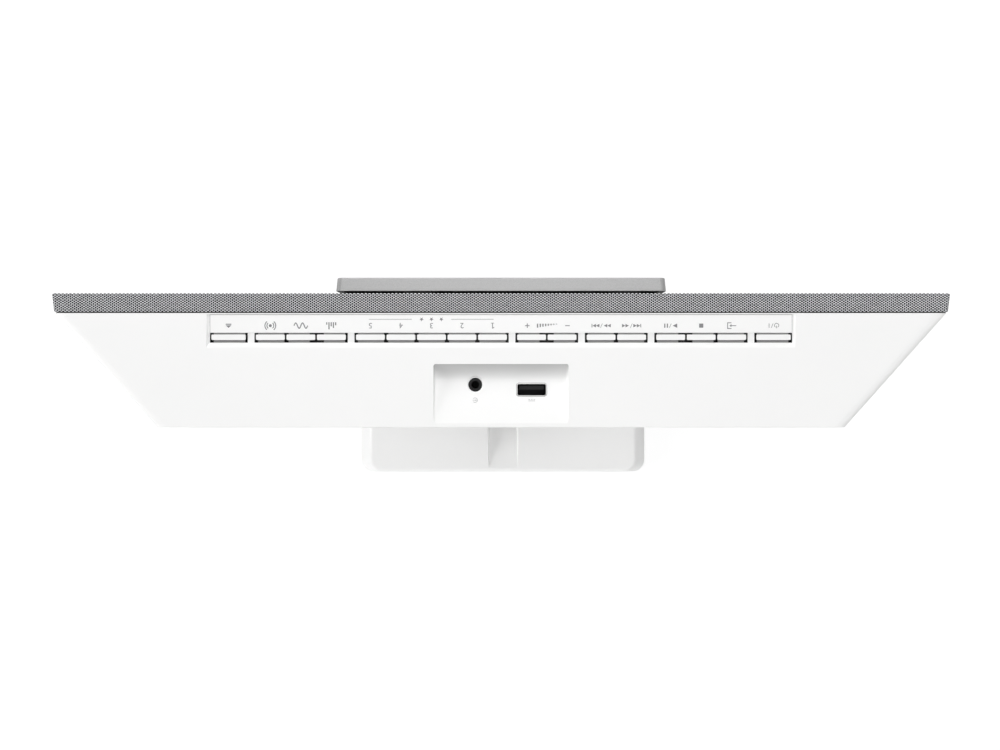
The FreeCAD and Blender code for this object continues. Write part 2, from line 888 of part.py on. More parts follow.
def cabinet_cuts():
    keys, slots, row_width = key_layout()
    slot_front = row_y - key_depth / 2 - key_front_gap
    slot_back = row_y + key_depth / 2 + key_back_gap
    end_gap = key_gap / 2
    half_relief = flange_depth / 2 + running_gap
    cuts = [control_recess(row_width)]
    for x0, x1 in slots:
        cuts.append(box(x0 - end_gap, x1 + end_gap, slot_front, slot_back, inner_top - overrun, cabinet_top))
        cuts.append(box(x0 - relief_margin, x1 + relief_margin, row_y - half_relief, row_y + half_relief,
                        inner_top - body_wall / 2, lip_underside))
    under_pocket = pocket_floor - 2 * body_wall
    cuts.append(pocket_scoop())
    cuts.append(jack_seat())
    cuts.append(rod_z(jack_nose_radius + seat_gap, under_pocket, cabinet_top, jack_x, jack_y))
    cuts.append(usb_block(-seat_gap, under_pocket, cabinet_top))
    bay_half = bay_width / 2
    cuts.append(box(-bay_half, bay_half, bay_floor, rear + overrun, bay_bottom, bay_bottom + bay_height))
    inlet_half = inlet_width / 2 + seat_gap
    inlet_reach = inlet_height / 2 + seat_gap
    behind_bay = bay_floor - 2 * body_wall
    cuts.append(box(inlet_x - inlet_half, inlet_x + inlet_half, behind_bay, bay_floor + overrun,
                    bay_middle - inlet_reach, bay_middle + inlet_reach))
    cuts.append(rod_y(aerial_shank_radius + seat_gap, behind_bay, bay_floor + overrun, aerial_x, bay_middle))
    for x in (-keyhole_spacing / 2, keyhole_spacing / 2):
        cuts.append(keyhole(x))
    for side in (-1, 1):
        for index in range(vent_count):
            x = side * (vent_start + index * vent_pitch)
            top = cabinet_top - vent_drop
            cuts.append(box(x - vent_width / 2, x + vent_width / 2, rear_inside - overrun, rear + overrun,
                            top - vent_height, top))
    for x, z in case_screw_places():
        cuts.append(rod_y(screw_shank_radius + seat_gap, rear_inside - overrun, rear + overrun, x, z))
        cuts.append(rod_y(screw_head_radius + seat_gap, rear - screw_head_height, rear + overrun, x, z))
    for x, y in stand_screw_places():
        cuts.append(rod_z(screw_shank_radius + shaft_gap, cabinet_bottom - overrun,
                          inner_bottom + stand_boss_height + overrun, x, y))
    return cuts


def rear_cabinet():
    outer = loft(rolled_wire(front_half, seam), rolled_wire(rear_half, rear))
    outer = outer.makeFillet(rear_edge, edges_at(outer, lambda p: abs(p.y - rear) < shaft_gap))
    shell = outer.cut(cabinet_block(seam - overrun, rear_inside, 0))
    return joined(shell, cabinet_additions()).cut(cabinet_cuts()).removeSplitter()


def door_slots(y0, y1):
    # Slots that the door's arms slide along, above and below the disc
    x0 = left_arm_x - running_gap
    x1 = right_arm_x + arm_width + door_travel + running_gap
    half = arm_height / 2 + running_gap
    return [box(x0, x1, y0, y1, z - half, z + half) for z in (upper_rail_z, lower_rail_z)]


def display_opening(y0, y1, border):
    half = display_width / 2 - border
    return box(-half, half, y0, y1, display_bottom + border, display_bottom + display_height - border)


def front_grille():
    outer = grille_block(grille_front, seam - grille_reveal, 0)
    outer = outer.makeFillet(grille_edge, edges_at(outer, lambda p: abs(p.y - grille_front) < shaft_gap))
    cuts = [grille_block(baffle_front, seam + overrun, grille_sheet)]
    cuts.append(rod_y(tray_rim_radius + seat_gap, grille_front - overrun, seam, 0, disc_z))
    cuts += door_slots(grille_front - overrun, seam)
    cuts.append(display_opening(grille_front - overrun, seam, -seat_gap))
    return outer.cut(cuts)


def rail_brackets():
    brackets = []
    for z in (lower_rail_z, upper_rail_z):
        for x in (rail_left, rail_right - rail_bracket):
            half = slider_height / 2
            brackets.append(box(x, x + rail_bracket, baffle_back - baffle_plate / 2, slider_back,
                                z - half, z + half))
    return brackets


def door_motor_mount():
    # A plate on two posts that carries the door motor behind its gear
    reach = door_motor_radius + motor_plate_margin
    post_x = door_motor_x + motor_post_offset
    right = post_x + motor_post_radius
    plate = box(door_motor_x - door_motor_radius, right, motor_plate_front, motor_plate_back,
                door_motor_z - reach, door_motor_z + reach)
    posts = []
    for z in (door_motor_z - motor_post_low, door_motor_z + motor_post_high):
        posts.append(rod_y(motor_post_radius, baffle_back - baffle_plate / 2,
                           motor_plate_front + motor_plate / 2, post_x, z))
    return [plate] + posts


def front_baffle():
    body = grille_block(baffle_front, seam, grille_sheet + seat_gap)
    body = body.cut(grille_block(baffle_back, seam + overrun, grille_sheet + seat_gap + baffle_rim))
    lip = cabinet_block(seam - lip_depth / 2, seam + lip_depth, seat_gap)
    lip = lip.cut(cabinet_block(seam - overrun, seam + lip_depth + overrun, seat_gap + lip_wall))
    pieces = [lip] + rail_brackets() + door_motor_mount()
    for x, z in case_screw_places():
        pieces.append(rod_y(case_post_radius, baffle_back - baffle_plate / 2, rear_inside, x, z))
    pieces.append(rod_y(gear_pin_radius, baffle_back - baffle_plate / 2, wheel_front + wheel_width,
                        door_gear_x, door_gear_z))
    cuts = [rod_y(tray_rim_radius + seat_gap, baffle_front - overrun, seam, 0, disc_z)]
    for x in (-speaker_x, speaker_x):
        cuts.append(rod_y(basket_opening, baffle_front - overrun, seam, x, speaker_z))
    cuts += door_slots(baffle_front - overrun, baffle_back + running_gap)
    window_seat = grille_front + window_thickness + seat_gap
    cuts.append(display_opening(baffle_front - overrun, window_seat, -seat_gap))
    cuts.append(display_opening(baffle_front - overrun, seam, display_border - seat_gap))
    for z in (lower_rail_z, upper_rail_z):
        cuts.append(rod_x(rail_radius + shaft_gap, rail_left - overrun, rail_right + overrun, rail_y, z))
    for x, z in case_screw_places():
        depth = screw_length + screw_head_height
        cuts.append(rod_y(screw_shank_radius + shaft_gap, rear - depth, rear + overrun, x, z))
    cuts.append(rod_y(motor_shaft_radius + running_gap, motor_plate_front - overrun,
                      motor_plate_back + overrun, door_motor_x, door_motor_z))
    return joined(body, pieces).cut(cuts).removeSplitter()


def legend_strip():
    keys, slots, row_width = key_layout()
    half = row_width / 2 + row_margin - seat_gap
    front = seam + control_front + seat_gap
    back = row_y - key_depth / 2 - key_front_gap - seat_gap
    return box(-half, half, front, back, control_floor, control_floor + strip_thickness)


def key_shape(name):
    # A cap through its slot, a flange under the lip of the slot, and a stem above its switch
    keys, slots, row_width = key_layout()
    left, right = keys[name]
    cap = box(left + key_gap / 2, right - key_gap / 2, row_y - key_depth / 2, row_y + key_depth / 2,
              flange_bottom, key_top)
    cap = cap.makeFillet(key_corner, [edge for edge in cap.Edges if edge.BoundBox.ZLength > key_corner])
    flange_right = right - (flange_notch if key_has_notch(name, 1) else flange_end)
    flange_left = left + (flange_notch if key_has_notch(name, 0) else flange_end)
    flange = box(flange_left, flange_right, row_y - flange_depth / 2, row_y + flange_depth / 2,
                 flange_bottom, flange_top)
    middle = (left + right) / 2
    reach = stem_width / 2
    stem = box(middle - reach, middle + reach, row_y - reach, row_y + reach, stem_bottom, flange_top)
    return joined(cap, [flange, stem])


def button_board():
    keys, slots, row_width = key_layout()
    half = row_width / 2 + key_board_overhang
    front = row_y - key_board_front
    board = box(-half, half, front, front + key_board_depth, key_board_top - board_thickness, key_board_top)
    pieces = []
    for left, right in keys.values():
        x = (left + right) / 2
        reach = switch_size / 2
        top = key_board_top + switch_height
        pieces.append(box(x - reach, x + reach, row_y - reach, row_y + reach, key_board_top, top))
        pieces.append(rod_z(plunger_radius, top, top + plunger_height, x, row_y))
    return joined(board, pieces)


def groove_wire(y, half_top, half_floor, depth):
    right = [(half_floor, -depth), (half_top, 0), (half_top, overrun)]
    left = [(-x, z) for x, z in reversed(right)]
    points = [vector(x, y, foot_top + z) for x, z in right + left]
    return Part.makePolygon(points + [points[0]])


def cable_groove():
    # The groove is level under the cabinet, then rises to the rear between leaning walls
    half_top = groove_width / 2
    half_floor = groove_floor_width / 2
    half_end = groove_end_width / 2
    start = groove_wire(neck_back + running_gap, half_top, half_floor, groove_depth)
    bend = groove_wire(rear, half_top, half_floor, groove_depth)
    end = groove_wire(foot_back - groove_margin, half_end, half_end - shaft_gap, shaft_gap)
    return [loft(start, bend), loft(bend, end)]


def stand_foot():
    middle = (foot_back - foot_front) / 2
    half_length = (foot_back + foot_front) / 2
    bottom = plan_wire(foot_width / 2, half_length, foot_corner, middle, pad_height)
    top = plan_wire(foot_width / 2 - foot_side_slope, half_length - foot_end_slope, foot_corner,
                    middle, foot_top)
    slab = loft(bottom, top)
    slab = slab.makeFillet(foot_edge, edges_at(slab, lambda p: abs(p.z - foot_top) < shaft_gap))
    neck = box(-neck_width / 2, neck_width / 2, -neck_front, neck_back, foot_top - foot_edge, cabinet_bottom)
    cuts = cable_groove()
    for x, y in pad_places():
        cuts.append(rod_z(pad_radius + shaft_gap, pad_height - overrun, pad_height + pad_recess, x, y))
    for x, y in stand_screw_places():
        cuts.append(rod_z(screw_shank_radius + shaft_gap, pad_height - overrun,
                          cabinet_bottom + overrun, x, y))
        cuts.append(rod_z(screw_head_radius + seat_gap, pad_height - overrun,
                          pad_height + stand_head_recess, x, y))
    return joined(slab, [neck]).cut(cuts).removeSplitter()


def rubber_feet():
    return Part.makeCompound([rod_z(pad_radius, 0, pad_height + pad_recess, x, y) for x, y in pad_places()])


def screw_shape(length):
    # A pan-head screw with a cross recess: the head's top is at the origin and the shank runs along -Z
    head = rod_z(screw_head_radius, -screw_head_height, 0, 0, 0)
    shank = rod_z(screw_shank_radius, -screw_head_height - length, -screw_head_height, 0, 0)
    reach = screw_head_radius * screw_cross_share
    half = screw_cross_width / 2
    cross = [box(-reach, reach, -half, half, -screw_cross_depth, overrun),
             box(-half, half, -reach, reach, -screw_cross_depth, overrun)]
    return head.fuse(shank).cut(cross)


def case_screws():
    screws = []
    for x, z in case_screw_places():
        screw = screw_shape(screw_length)
        screw.rotate(vector(0, 0, 0), vector(1, 0, 0), -90)
        screw.translate(vector(x, rear, z))
        screws.append(screw)
    return Part.makeCompound(screws)


def stand_screws():
    seat = pad_height + stand_head_recess
    length = inner_bottom + stand_boss_height - seat
    screws = []
    for x, y in stand_screw_places():
        screw = screw_shape(length)
        screw.rotate(vector(0, 0, 0), vector(1, 0, 0), 180)
        screw.translate(vector(x, y, seat - screw_head_height))
        screws.append(screw)
    return Part.makeCompound(screws)


def door_panel():
    front = front_wire(door_width / 2 - door_draft, door_height / 2 - door_draft, door_corner,
                       door_front, disc_z)
    back = front_wire(door_width / 2, door_height / 2, door_corner, door_back, disc_z)
    outer = loft(front, back)
    outer = outer.makeFillet(door_edge, edges_at(outer, lambda p: abs(p.y - door_front) < shaft_gap))
    half_width = door_width / 2 - liner_inset
    half_height = door_height / 2 - liner_inset
    radius = door_corner - door_wall
    cavity = loft(front_wire(half_width, half_height, radius, door_front + door_wall, disc_z),
                  front_wire(half_width, half_height, radius, door_back + overrun, disc_z))
    return outer.cut(cavity)


def door_liner():
    # A black back for the door with two arms above, and two arms below that end in rail shoes
    half_width = door_width / 2 - liner_inset - seat_gap
    half_height = door_height / 2 - liner_inset - seat_gap
    radius = door_corner - door_wall
    seated = loft(front_wire(half_width, half_height, radius, door_front + door_wall, disc_z),
                  front_wire(half_width, half_height, radius, door_back, disc_z))
    proud = loft(front_wire(half_width, half_height, radius, door_back, disc_z),
                 front_wire(half_width - liner_bevel, half_height - liner_bevel, radius, liner_back, disc_z))
    pieces = [proud]
    half_arm = arm_height / 2
    half_shoe = slider_height / 2
    for x in (left_arm_x, right_arm_x):
        for z in (upper_rail_z, lower_rail_z):
            pieces.append(box(x, x + arm_width, door_back, slider_front, z - half_arm, z + half_arm))
        pieces.append(box(x, x + arm_width, slider_front, slider_back,
                          lower_rail_z - half_shoe, lower_rail_z + half_shoe))
    bore = rod_x(rail_radius + shaft_gap, rail_left, rail_right, rail_y, lower_rail_z)
    return joined(seated, pieces).cut(bore)


def door_rack():
    bar = toothed_bar(rack_left, rack_right, slider_front, slider_back, rack_root_z,
                      upper_rail_z + slider_height / 2, door_gear_x)
    return bar.cut(rod_x(rail_radius + shaft_gap, rail_left, rail_right, rail_y, upper_rail_z))


def door_rails():
    return Part.makeCompound([rod_x(rail_radius, rail_left, rail_right, rail_y, z)
                              for z in (lower_rail_z, upper_rail_z)])


def door_gear():
    pinion = gear(pinion_teeth, door_gear_x, door_gear_z, slider_front + gear_end_gap, slider_back,
                  math.pi / 2)
    hub = rod_y(gear_hub_radius, slider_back, wheel_front, door_gear_x, door_gear_z)
    wheel = gear(wheel_teeth, door_gear_x, door_gear_z, wheel_front, wheel_front + wheel_width,
                 door_motor_angle)
    bore = rod_y(gear_pin_radius + shaft_gap, slider_front, wheel_front + wheel_width + overrun,
                 door_gear_x, door_gear_z)
    return joined(pinion, [hub, wheel]).cut(bore)


def motor_pinion(x, z, y0, y1, wheel_angle):
    # The pinion on a motor's shaft, with a tooth gap facing the wheel that it drives
    facing = wheel_angle + math.pi + math.pi / motor_teeth
    bore = rod_y(motor_shaft_radius, y0 - overrun, y1 + overrun, x, z)
    return gear(motor_teeth, x, z, y0, y1, facing).cut(bore)


def motor_shaft(x, z, y0, y1):
    return rod_y(motor_shaft_radius, y0, y1, x, z)


def door_motor_pinion():
    wheel = motor_pinion(door_motor_x, door_motor_z, wheel_front, wheel_front + wheel_width,
                         door_motor_angle)
    shaft = motor_shaft(door_motor_x, door_motor_z, wheel_front, motor_plate_back + door_motor_length / 2)
    return joined(wheel, [shaft])


def motor_can(radius, x, z, y0, y1):
    # A plain can with a bore for the pinion's shaft and a raised bearing boss at the rear
    boss = rod_y(radius / 3, y1, y1 + gear_end_gap, x, z)
    can = rod_y(radius, y0, y1, x, z)
    bore = rod_y(motor_shaft_radius + shaft_gap, y0 - overrun, (y0 + y1) / 2 + running_gap, x, z)
    return joined(can, [boss]).cut(bore)


def door_motor():
    return motor_can(door_motor_radius, door_motor_x, door_motor_z, motor_plate_back,
                     motor_plate_back + door_motor_length)


def disc_tray():
    flange_back = baffle_back + tray_flange_thickness
    profile = [
        (tray_inner_radius + tray_chamfer, grille_front),
        (tray_rim_radius, grille_front),
        (tray_rim_radius, baffle_back),
        (tray_flange_radius, baffle_back),
        (tray_flange_radius, flange_back),
        (tray_cup_radius, flange_back),
        (tray_cup_radius, floor_back),
        (tray_hub_hole, floor_back),
        (tray_hub_hole, floor_front),
        (tray_inner_radius, floor_front),
        (tray_inner_radius, grille_front + tray_chamfer),
    ]
    cup = revolved(profile, 0, disc_z)
    posts = [rod_y(tray_post_radius, floor_back - tray_floor / 2, tray_post_back, x, z)
             for x, z in tray_post_places()]
    slot_left = -pickup_rest - pickup_travel - lens_radius - slot_end_gap
    cuts = [box(slot_left, pickup_right, floor_front - overrun, floor_back + overrun,
                disc_z - slot_half_height, disc_z + slot_half_height)]
    for x, z in tray_post_places():
        cuts.append(rod_y(damper_stub_radius + shaft_gap, tray_post_back - damper_stub_length,
                          tray_post_back + overrun, x, z))
    return joined(cup, posts).cut(cuts)


def drive_chassis():
    plate = box(-chassis_left, chassis_right, chassis_front, chassis_back,
                disc_z - chassis_bottom, disc_z + chassis_top)
    corners = [edge for edge in plate.Edges if edge.BoundBox.YLength > chassis_thickness / 2]
    plate = plate.makeFillet(chassis_corner, corners)
    lugs = []
    for x in (guide_left, lug_inner_end):
        for z in (disc_z - guide_offset, disc_z + guide_offset):
            lugs.append(box(x, x + lug_thickness, guide_y - lug_half, chassis_front + chassis_thickness / 2,
                            z - lug_half, z + lug_half))
    cuts = []
    for z in (disc_z - guide_offset, disc_z + guide_offset):
        cuts.append(rod_x(guide_radius + shaft_gap, guide_left - overrun, guide_right + overrun, guide_y, z))
    for x, z in tray_post_places():
        cuts.append(rod_y(damper_spigot_radius + shaft_gap, chassis_front - overrun,
                          chassis_back + overrun, x, z))
    cuts.append(rod_y(gear_pin_radius + shaft_gap, chassis_front - overrun, chassis_back + overrun,
                      sled_gear_x, sled_gear_z))
    cuts.append(rod_y(motor_shaft_radius + running_gap, chassis_front - overrun, chassis_back + overrun,
                      sled_motor_x, sled_motor_z))
    return joined(plate, lugs).cut(cuts)


def drive_dampers():
    # Rubber mounts between the tray's posts and the chassis, each with a stub, a spigot and a head
    dampers = []
    for x, z in tray_post_places():
        body = rod_y(tray_post_radius, tray_post_back, chassis_front, x, z)
        stub = rod_y(damper_stub_radius, tray_post_back - damper_stub_length, tray_post_back, x, z)
        spigot = rod_y(damper_spigot_radius, chassis_front, chassis_back, x, z)
        head = rod_y(damper_head_radius, chassis_back, chassis_back + damper_head_thickness, x, z)
        dampers.append(joined(body, [stub, spigot, head]))
    return Part.makeCompound(dampers)


def turntable():
    # Disc seat, chamfered hub with spring-loaded balls, and the spindle that turns in the motor
    seat = floor_front - disc_lift
    hub_front = seat - hub_height
    spindle_back = (floor_back + spindle_motor_gap + chassis_front) / 2
    profile = [
        (0, hub_front),
        (hub_radius - hub_chamfer, hub_front),
        (hub_radius, hub_front + hub_chamfer),
        (hub_radius, seat),
        (table_radius, seat),
        (table_radius, seat + table_thickness),
        (spindle_radius, seat + table_thickness),
        (spindle_radius, spindle_back),
        (0, spindle_back),
    ]
    table = revolved(profile, 0, disc_z)
    balls = []
    ball_orbit = hub_radius - ball_radius + ball_stand_out
    for index in range(ball_count):
        angle = math.pi / 2 + 2 * math.pi * index / ball_count
        x = ball_orbit * math.cos(angle)
        z = disc_z + ball_orbit * math.sin(angle)
        balls.append(Part.makeSphere(ball_radius, vector(x, seat - hub_height / 2, z)))
    return joined(table, balls)


def spindle_motor():
    front = floor_back + spindle_motor_gap
    can = rod_y(spindle_motor_radius, front, chassis_front, 0, disc_z)
    bore_back = (front + chassis_front) / 2 + running_gap
    return can.cut(rod_y(spindle_radius + shaft_gap, front - overrun, bore_back, 0, disc_z))


def optical_pickup():
    body = box(pickup_left, pickup_right, pickup_front, pickup_back,
               disc_z - pickup_half_height, disc_z + pickup_half_height)
    pieces = []
    for sign in (-1, 1):
        edge = disc_z + sign * pickup_half_height
        far = disc_z + sign * (guide_offset + bearing_half)
        pieces.append(box(pickup_left, pickup_right, guide_y - bearing_half, guide_y + bearing_half,
                          min(edge, far), max(edge, far)))
    bar = toothed_bar(pickup_left, sled_rack_right, sled_rack_front, sled_rack_back, sled_rack_root_z,
                      sled_rack_root_z + sled_rack_height, sled_gear_x)
    cuts = [rod_x(guide_radius + shaft_gap, guide_left, guide_right, guide_y, disc_z + sign * guide_offset)
            for sign in (-1, 1)]
    cuts.append(rod_y(lens_radius + seat_gap, pickup_front - overrun, pickup_front + lens_well,
                      -pickup_rest, disc_z))
    return joined(body, pieces + [bar]).cut(cuts)


def pickup_lens():
    # A low round holder with a domed lens
    back = pickup_front + lens_well
    front = pickup_front - lens_height
    rim = lens_radius - lens_well
    profile = [(0, front), (rim / 2, front), (rim, front + lens_well / 2), (lens_radius, front + lens_well),
               (lens_radius, back), (0, back)]
    return revolved(profile, -pickup_rest, disc_z)


def pickup_guide_rods():
    heights = (disc_z - guide_offset, disc_z + guide_offset)
    return Part.makeCompound([rod_x(guide_radius, guide_left, guide_right, guide_y, z) for z in heights])


def sled_gear():
    pinion = gear(pinion_teeth, sled_gear_x, sled_gear_z, sled_rack_front, sled_rack_back, math.pi / 2)
    axle = rod_y(gear_pin_radius, sled_rack_back, sled_wheel_front, sled_gear_x, sled_gear_z)
    wheel = gear(wheel_teeth, sled_gear_x, sled_gear_z, sled_wheel_front, sled_wheel_front + wheel_width,
                 sled_motor_angle)
    return joined(pinion, [axle, wheel])


def sled_motor_pinion():
    wheel = motor_pinion(sled_motor_x, sled_motor_z, sled_wheel_front, sled_wheel_front + wheel_width,
                         sled_motor_angle)
    shaft = motor_shaft(sled_motor_x, sled_motor_z, chassis_front - sled_motor_length / 2,
                        sled_wheel_front + wheel_width)
    return joined(wheel, [shaft])


def sled_motor():
    can = rod_y(sled_motor_radius, chassis_front - sled_motor_length, chassis_front,
                sled_motor_x, sled_motor_z)
    bore_front = chassis_front - sled_motor_length / 2 - running_gap
    return can.cut(rod_y(motor_shaft_radius + shaft_gap, bore_front, chassis_front + overrun,
                         sled_motor_x, sled_motor_z))


def speaker_basket(x):
    flange_back = baffle_back + basket_flange
    shell_back = baffle_back + basket_depth - basket_flange
    back = baffle_back + basket_depth
    profile = [
        (basket_opening, baffle_back),
        (basket_radius, baffle_back),
        (basket_radius, flange_back),
        (basket_opening + basket_shell, flange_back),
        (basket_back_radius, shell_back),
        (basket_back_radius, back),
        (coil_radius + coil_wall + coil_gap, back),
        (coil_radius + coil_wall + coil_gap, shell_back),
        (basket_back_radius - basket_shell, shell_back),
        (basket_opening, flange_back),
    ]
    shell = revolved(profile, x, speaker_z)
    windows = []
    for index in range(basket_windows):
        window = box(x + basket_back_radius - 2 * basket_shell, x + basket_radius + overrun,
                     flange_back + basket_window_margin, shell_back - basket_window_margin,
                     speaker_z - basket_window / 2, speaker_z + basket_window / 2)
        window.rotate(vector(x, 0, speaker_z), vector(0, 1, 0), 360 * (index + 0.5) / basket_windows)
        windows.append(window)
    return shell.cut(windows)


def speaker_magnet(x):
    front = baffle_back + basket_depth
    gap_bottom = front + magnet_depth - magnet_back
    profile = [
        (0, front),
        (coil_radius - coil_gap, front),
        (coil_radius - coil_gap, gap_bottom),
        (coil_radius + coil_wall + coil_gap, gap_bottom),
        (coil_radius + coil_wall + coil_gap, front),
        (magnet_radius, front),
        (magnet_radius, front + magnet_depth),
        (0, front + magnet_depth),
    ]
    return revolved(profile, x, speaker_z)


def speaker_cone(x):
    # Paper cone, voice coil former and dust cap in one solid
    edge = baffle_back + basket_flange
    throat = edge + cone_height
    coil_back = baffle_back + basket_depth + magnet_depth - magnet_back - 2 * cone_travel
    cap = throat - cap_height
    coil_outer = coil_radius + coil_wall
    profile = [
        (0, cap),
        (coil_radius / 2, cap + cap_height / 5),
        (coil_radius, throat - cone_wall),
        (cone_radius - cone_wall, edge - cone_wall),
        (cone_radius, edge - cone_wall),
        (cone_radius, edge),
        (coil_outer, throat),
        (coil_outer, coil_back),
        (coil_radius, coil_back),
        (coil_radius, throat),
        (coil_radius / 2, cap + cap_height / 5 + cone_wall),
        (0, cap + cone_wall),
    ]
    return revolved(profile, x, speaker_z)


def speaker_surround(x):
    # A half roll between the cone's edge and the basket
    edge = baffle_back + basket_flange
    middle = (cone_radius + basket_opening) / 2
    outer = (basket_opening - cone_radius) / 2
    inner = outer - roll_wall

    def point(radius, angle):
        return vector(x + middle + radius * math.cos(angle), edge - radius * math.sin(angle), speaker_z)

    edges = [
        Part.Arc(point(outer, 0), point(outer, math.pi / 2), point(outer, math.pi)).toShape(),
        Part.LineSegment(point(outer, math.pi), point(inner, math.pi)).toShape(),
        Part.Arc(point(inner, math.pi), point(inner, math.pi / 2), point(inner, 0)).toShape(),
        Part.LineSegment(point(inner, 0), point(outer, 0)).toShape(),
    ]
    return Part.Face(Part.Wire(edges)).revolve(vector(x, 0, speaker_z), vector(0, 1, 0), 360)


def main_board():
    # Vertical board behind the drive, with a finned amplifier heat sink, chips and capacitors
    low = main_board_low()
    height = main_board_high() - low
    half = main_board_width / 2
    board = box(-half, half, main_board_front, main_board_front + board_thickness, low, low + height)
    sink_x = heatsink_shares[0] * main_board_width
    sink_z = low + heatsink_shares[1] * height
    left = sink_x - heatsink_width / 2
    front = main_board_front - heatsink_depth
    sink_bottom = sink_z - heatsink_height / 2
    pieces = [box(left, left + heatsink_width, main_board_front - heatsink_base, main_board_front,
                  sink_bottom, sink_bottom + heatsink_height)]
    for index in range(heatsink_fins):
        fin = left + (heatsink_width - heatsink_fin) * index / (heatsink_fins - 1)
        pieces.append(box(fin, fin + heatsink_fin, front, main_board_front,
                          sink_bottom, sink_bottom + heatsink_height))
    for share_x, share_z in chip_shares:
        x = share_x * main_board_width
        z = low + share_z * height
        reach = chip_width / 2
        pieces.append(box(x - reach, x + reach, main_board_front - chip_thickness, main_board_front,
                          z - reach, z + reach))
    for share_x, share_z in capacitor_shares:
        pieces.append(rod_y(capacitor_radius, main_board_front - capacitor_height, main_board_front,
                            share_x * main_board_width, low + share_z * height))
    return joined(board, pieces)


def power_board():
    # Vertical board in front of the terminal bay, with a transformer and capacitors
    half = power_board_width / 2
    reach = power_board_height / 2
    front = power_board_back - board_thickness
    board = box(-half, half, front, power_board_back, bay_middle - reach, bay_middle + reach)
    x = transformer_share * power_board_width
    pieces = [box(x - transformer_width / 2, x + transformer_width / 2, front - transformer_depth, front,
                  bay_middle - transformer_height / 2, bay_middle + transformer_height / 2)]
    for share in power_capacitor_shares:
        pieces.append(rod_y(capacitor_radius, front - capacitor_height, front,
                            share * power_board_width, bay_middle))
    return joined(board, pieces)


def display_window():
    return display_opening(grille_front, grille_front + window_thickness, 0)


def display_module():
    front = grille_front + window_thickness
    return display_opening(front, front + display_depth, display_border)


def usb_socket():
    # A metal shell with its tongue, open at the top and seated on the main board
    shell = usb_block(0, usb_top - usb_length, usb_top)
    floor = usb_top - usb_length + usb_floor
    cavity = usb_block(usb_wall, floor, usb_top + overrun)
    tongue_y = usb_y + usb_tongue_offset
    tongue = box(usb_x - usb_tongue_width / 2, usb_x + usb_tongue_width / 2,
                 tongue_y - usb_tongue_thickness / 2, tongue_y + usb_tongue_thickness / 2,
                 floor - usb_floor / 2, usb_top - usb_tongue_drop)
    return joined(shell.cut(cavity), [tongue])


def aux_jack():
    # A round nose in the pocket's floor on a square body that is seated on the main board
    body_top = pocket_floor - body_wall
    body = box(jack_x - jack_body_width / 2, jack_x + jack_body_width / 2, jack_y - jack_body_front,
               main_board_front, body_top - jack_body_height, body_top)
    nose = rod_z(jack_nose_radius, body_top - body_wall, jack_top, jack_x, jack_y)
    bore = rod_z(jack_bore_radius, jack_top - jack_bore_length, jack_top + overrun, jack_x, jack_y)
    return joined(body, [nose]).cut(bore)


def inlet_outline(y):
    # The figure-of-eight socket's round-ended outline
    half_height = inlet_cavity_height / 2
    straight = inlet_cavity_width / 2 - half_height

    def point(x, z):
        return vector(inlet_x + x, y, bay_middle + z)

    edges = [
        Part.LineSegment(point(-straight, -half_height), point(straight, -half_height)).toShape(),
        Part.Arc(point(straight, -half_height), point(straight + half_height, 0),
                 point(straight, half_height)).toShape(),
        Part.LineSegment(point(straight, half_height), point(-straight, half_height)).toShape(),
        Part.Arc(point(-straight, half_height), point(-straight - half_height, 0),
                 point(-straight, -half_height)).toShape(),
    ]
    return Part.Face(Part.Wire(edges))


def mains_inlet():
    half = inlet_width / 2
    reach = inlet_height / 2
    mouth = bay_floor + inlet_flange_thickness
    body = box(inlet_x - half, inlet_x + half, power_board_back, mouth,
               bay_middle - reach, bay_middle + reach)
    flange = box(inlet_x - half - inlet_flange, inlet_x + half + inlet_flange, bay_floor, mouth,
                 bay_middle - reach - inlet_flange, bay_middle + reach + inlet_flange)
    cavity = inlet_outline(mouth - inlet_cavity_depth).extrude(vector(0, inlet_cavity_depth + overrun, 0))
    pins = []
    for sign in (-1, 1):
        pins.append(rod_y(inlet_pin_radius, mouth - inlet_cavity_depth - inlet_pin_radius,
                          mouth - inlet_pin_short, inlet_x + sign * inlet_pin_spacing / 2, bay_middle))
    return joined(joined(body, [flange]).cut(cavity), pins)


def antenna_socket():
    post = rod_y(aerial_radius, bay_floor, bay_floor + aerial_length, aerial_x, bay_middle)
    shank = rod_y(aerial_shank_radius, power_board_back, bay_floor, aerial_x, bay_middle)
    tip = bay_floor + aerial_length
    contact = rod_y(aerial_contact_radius, tip - aerial_contact_depth, tip + overrun, aerial_x, bay_middle)
    return joined(post, [shank]).cut(contact)


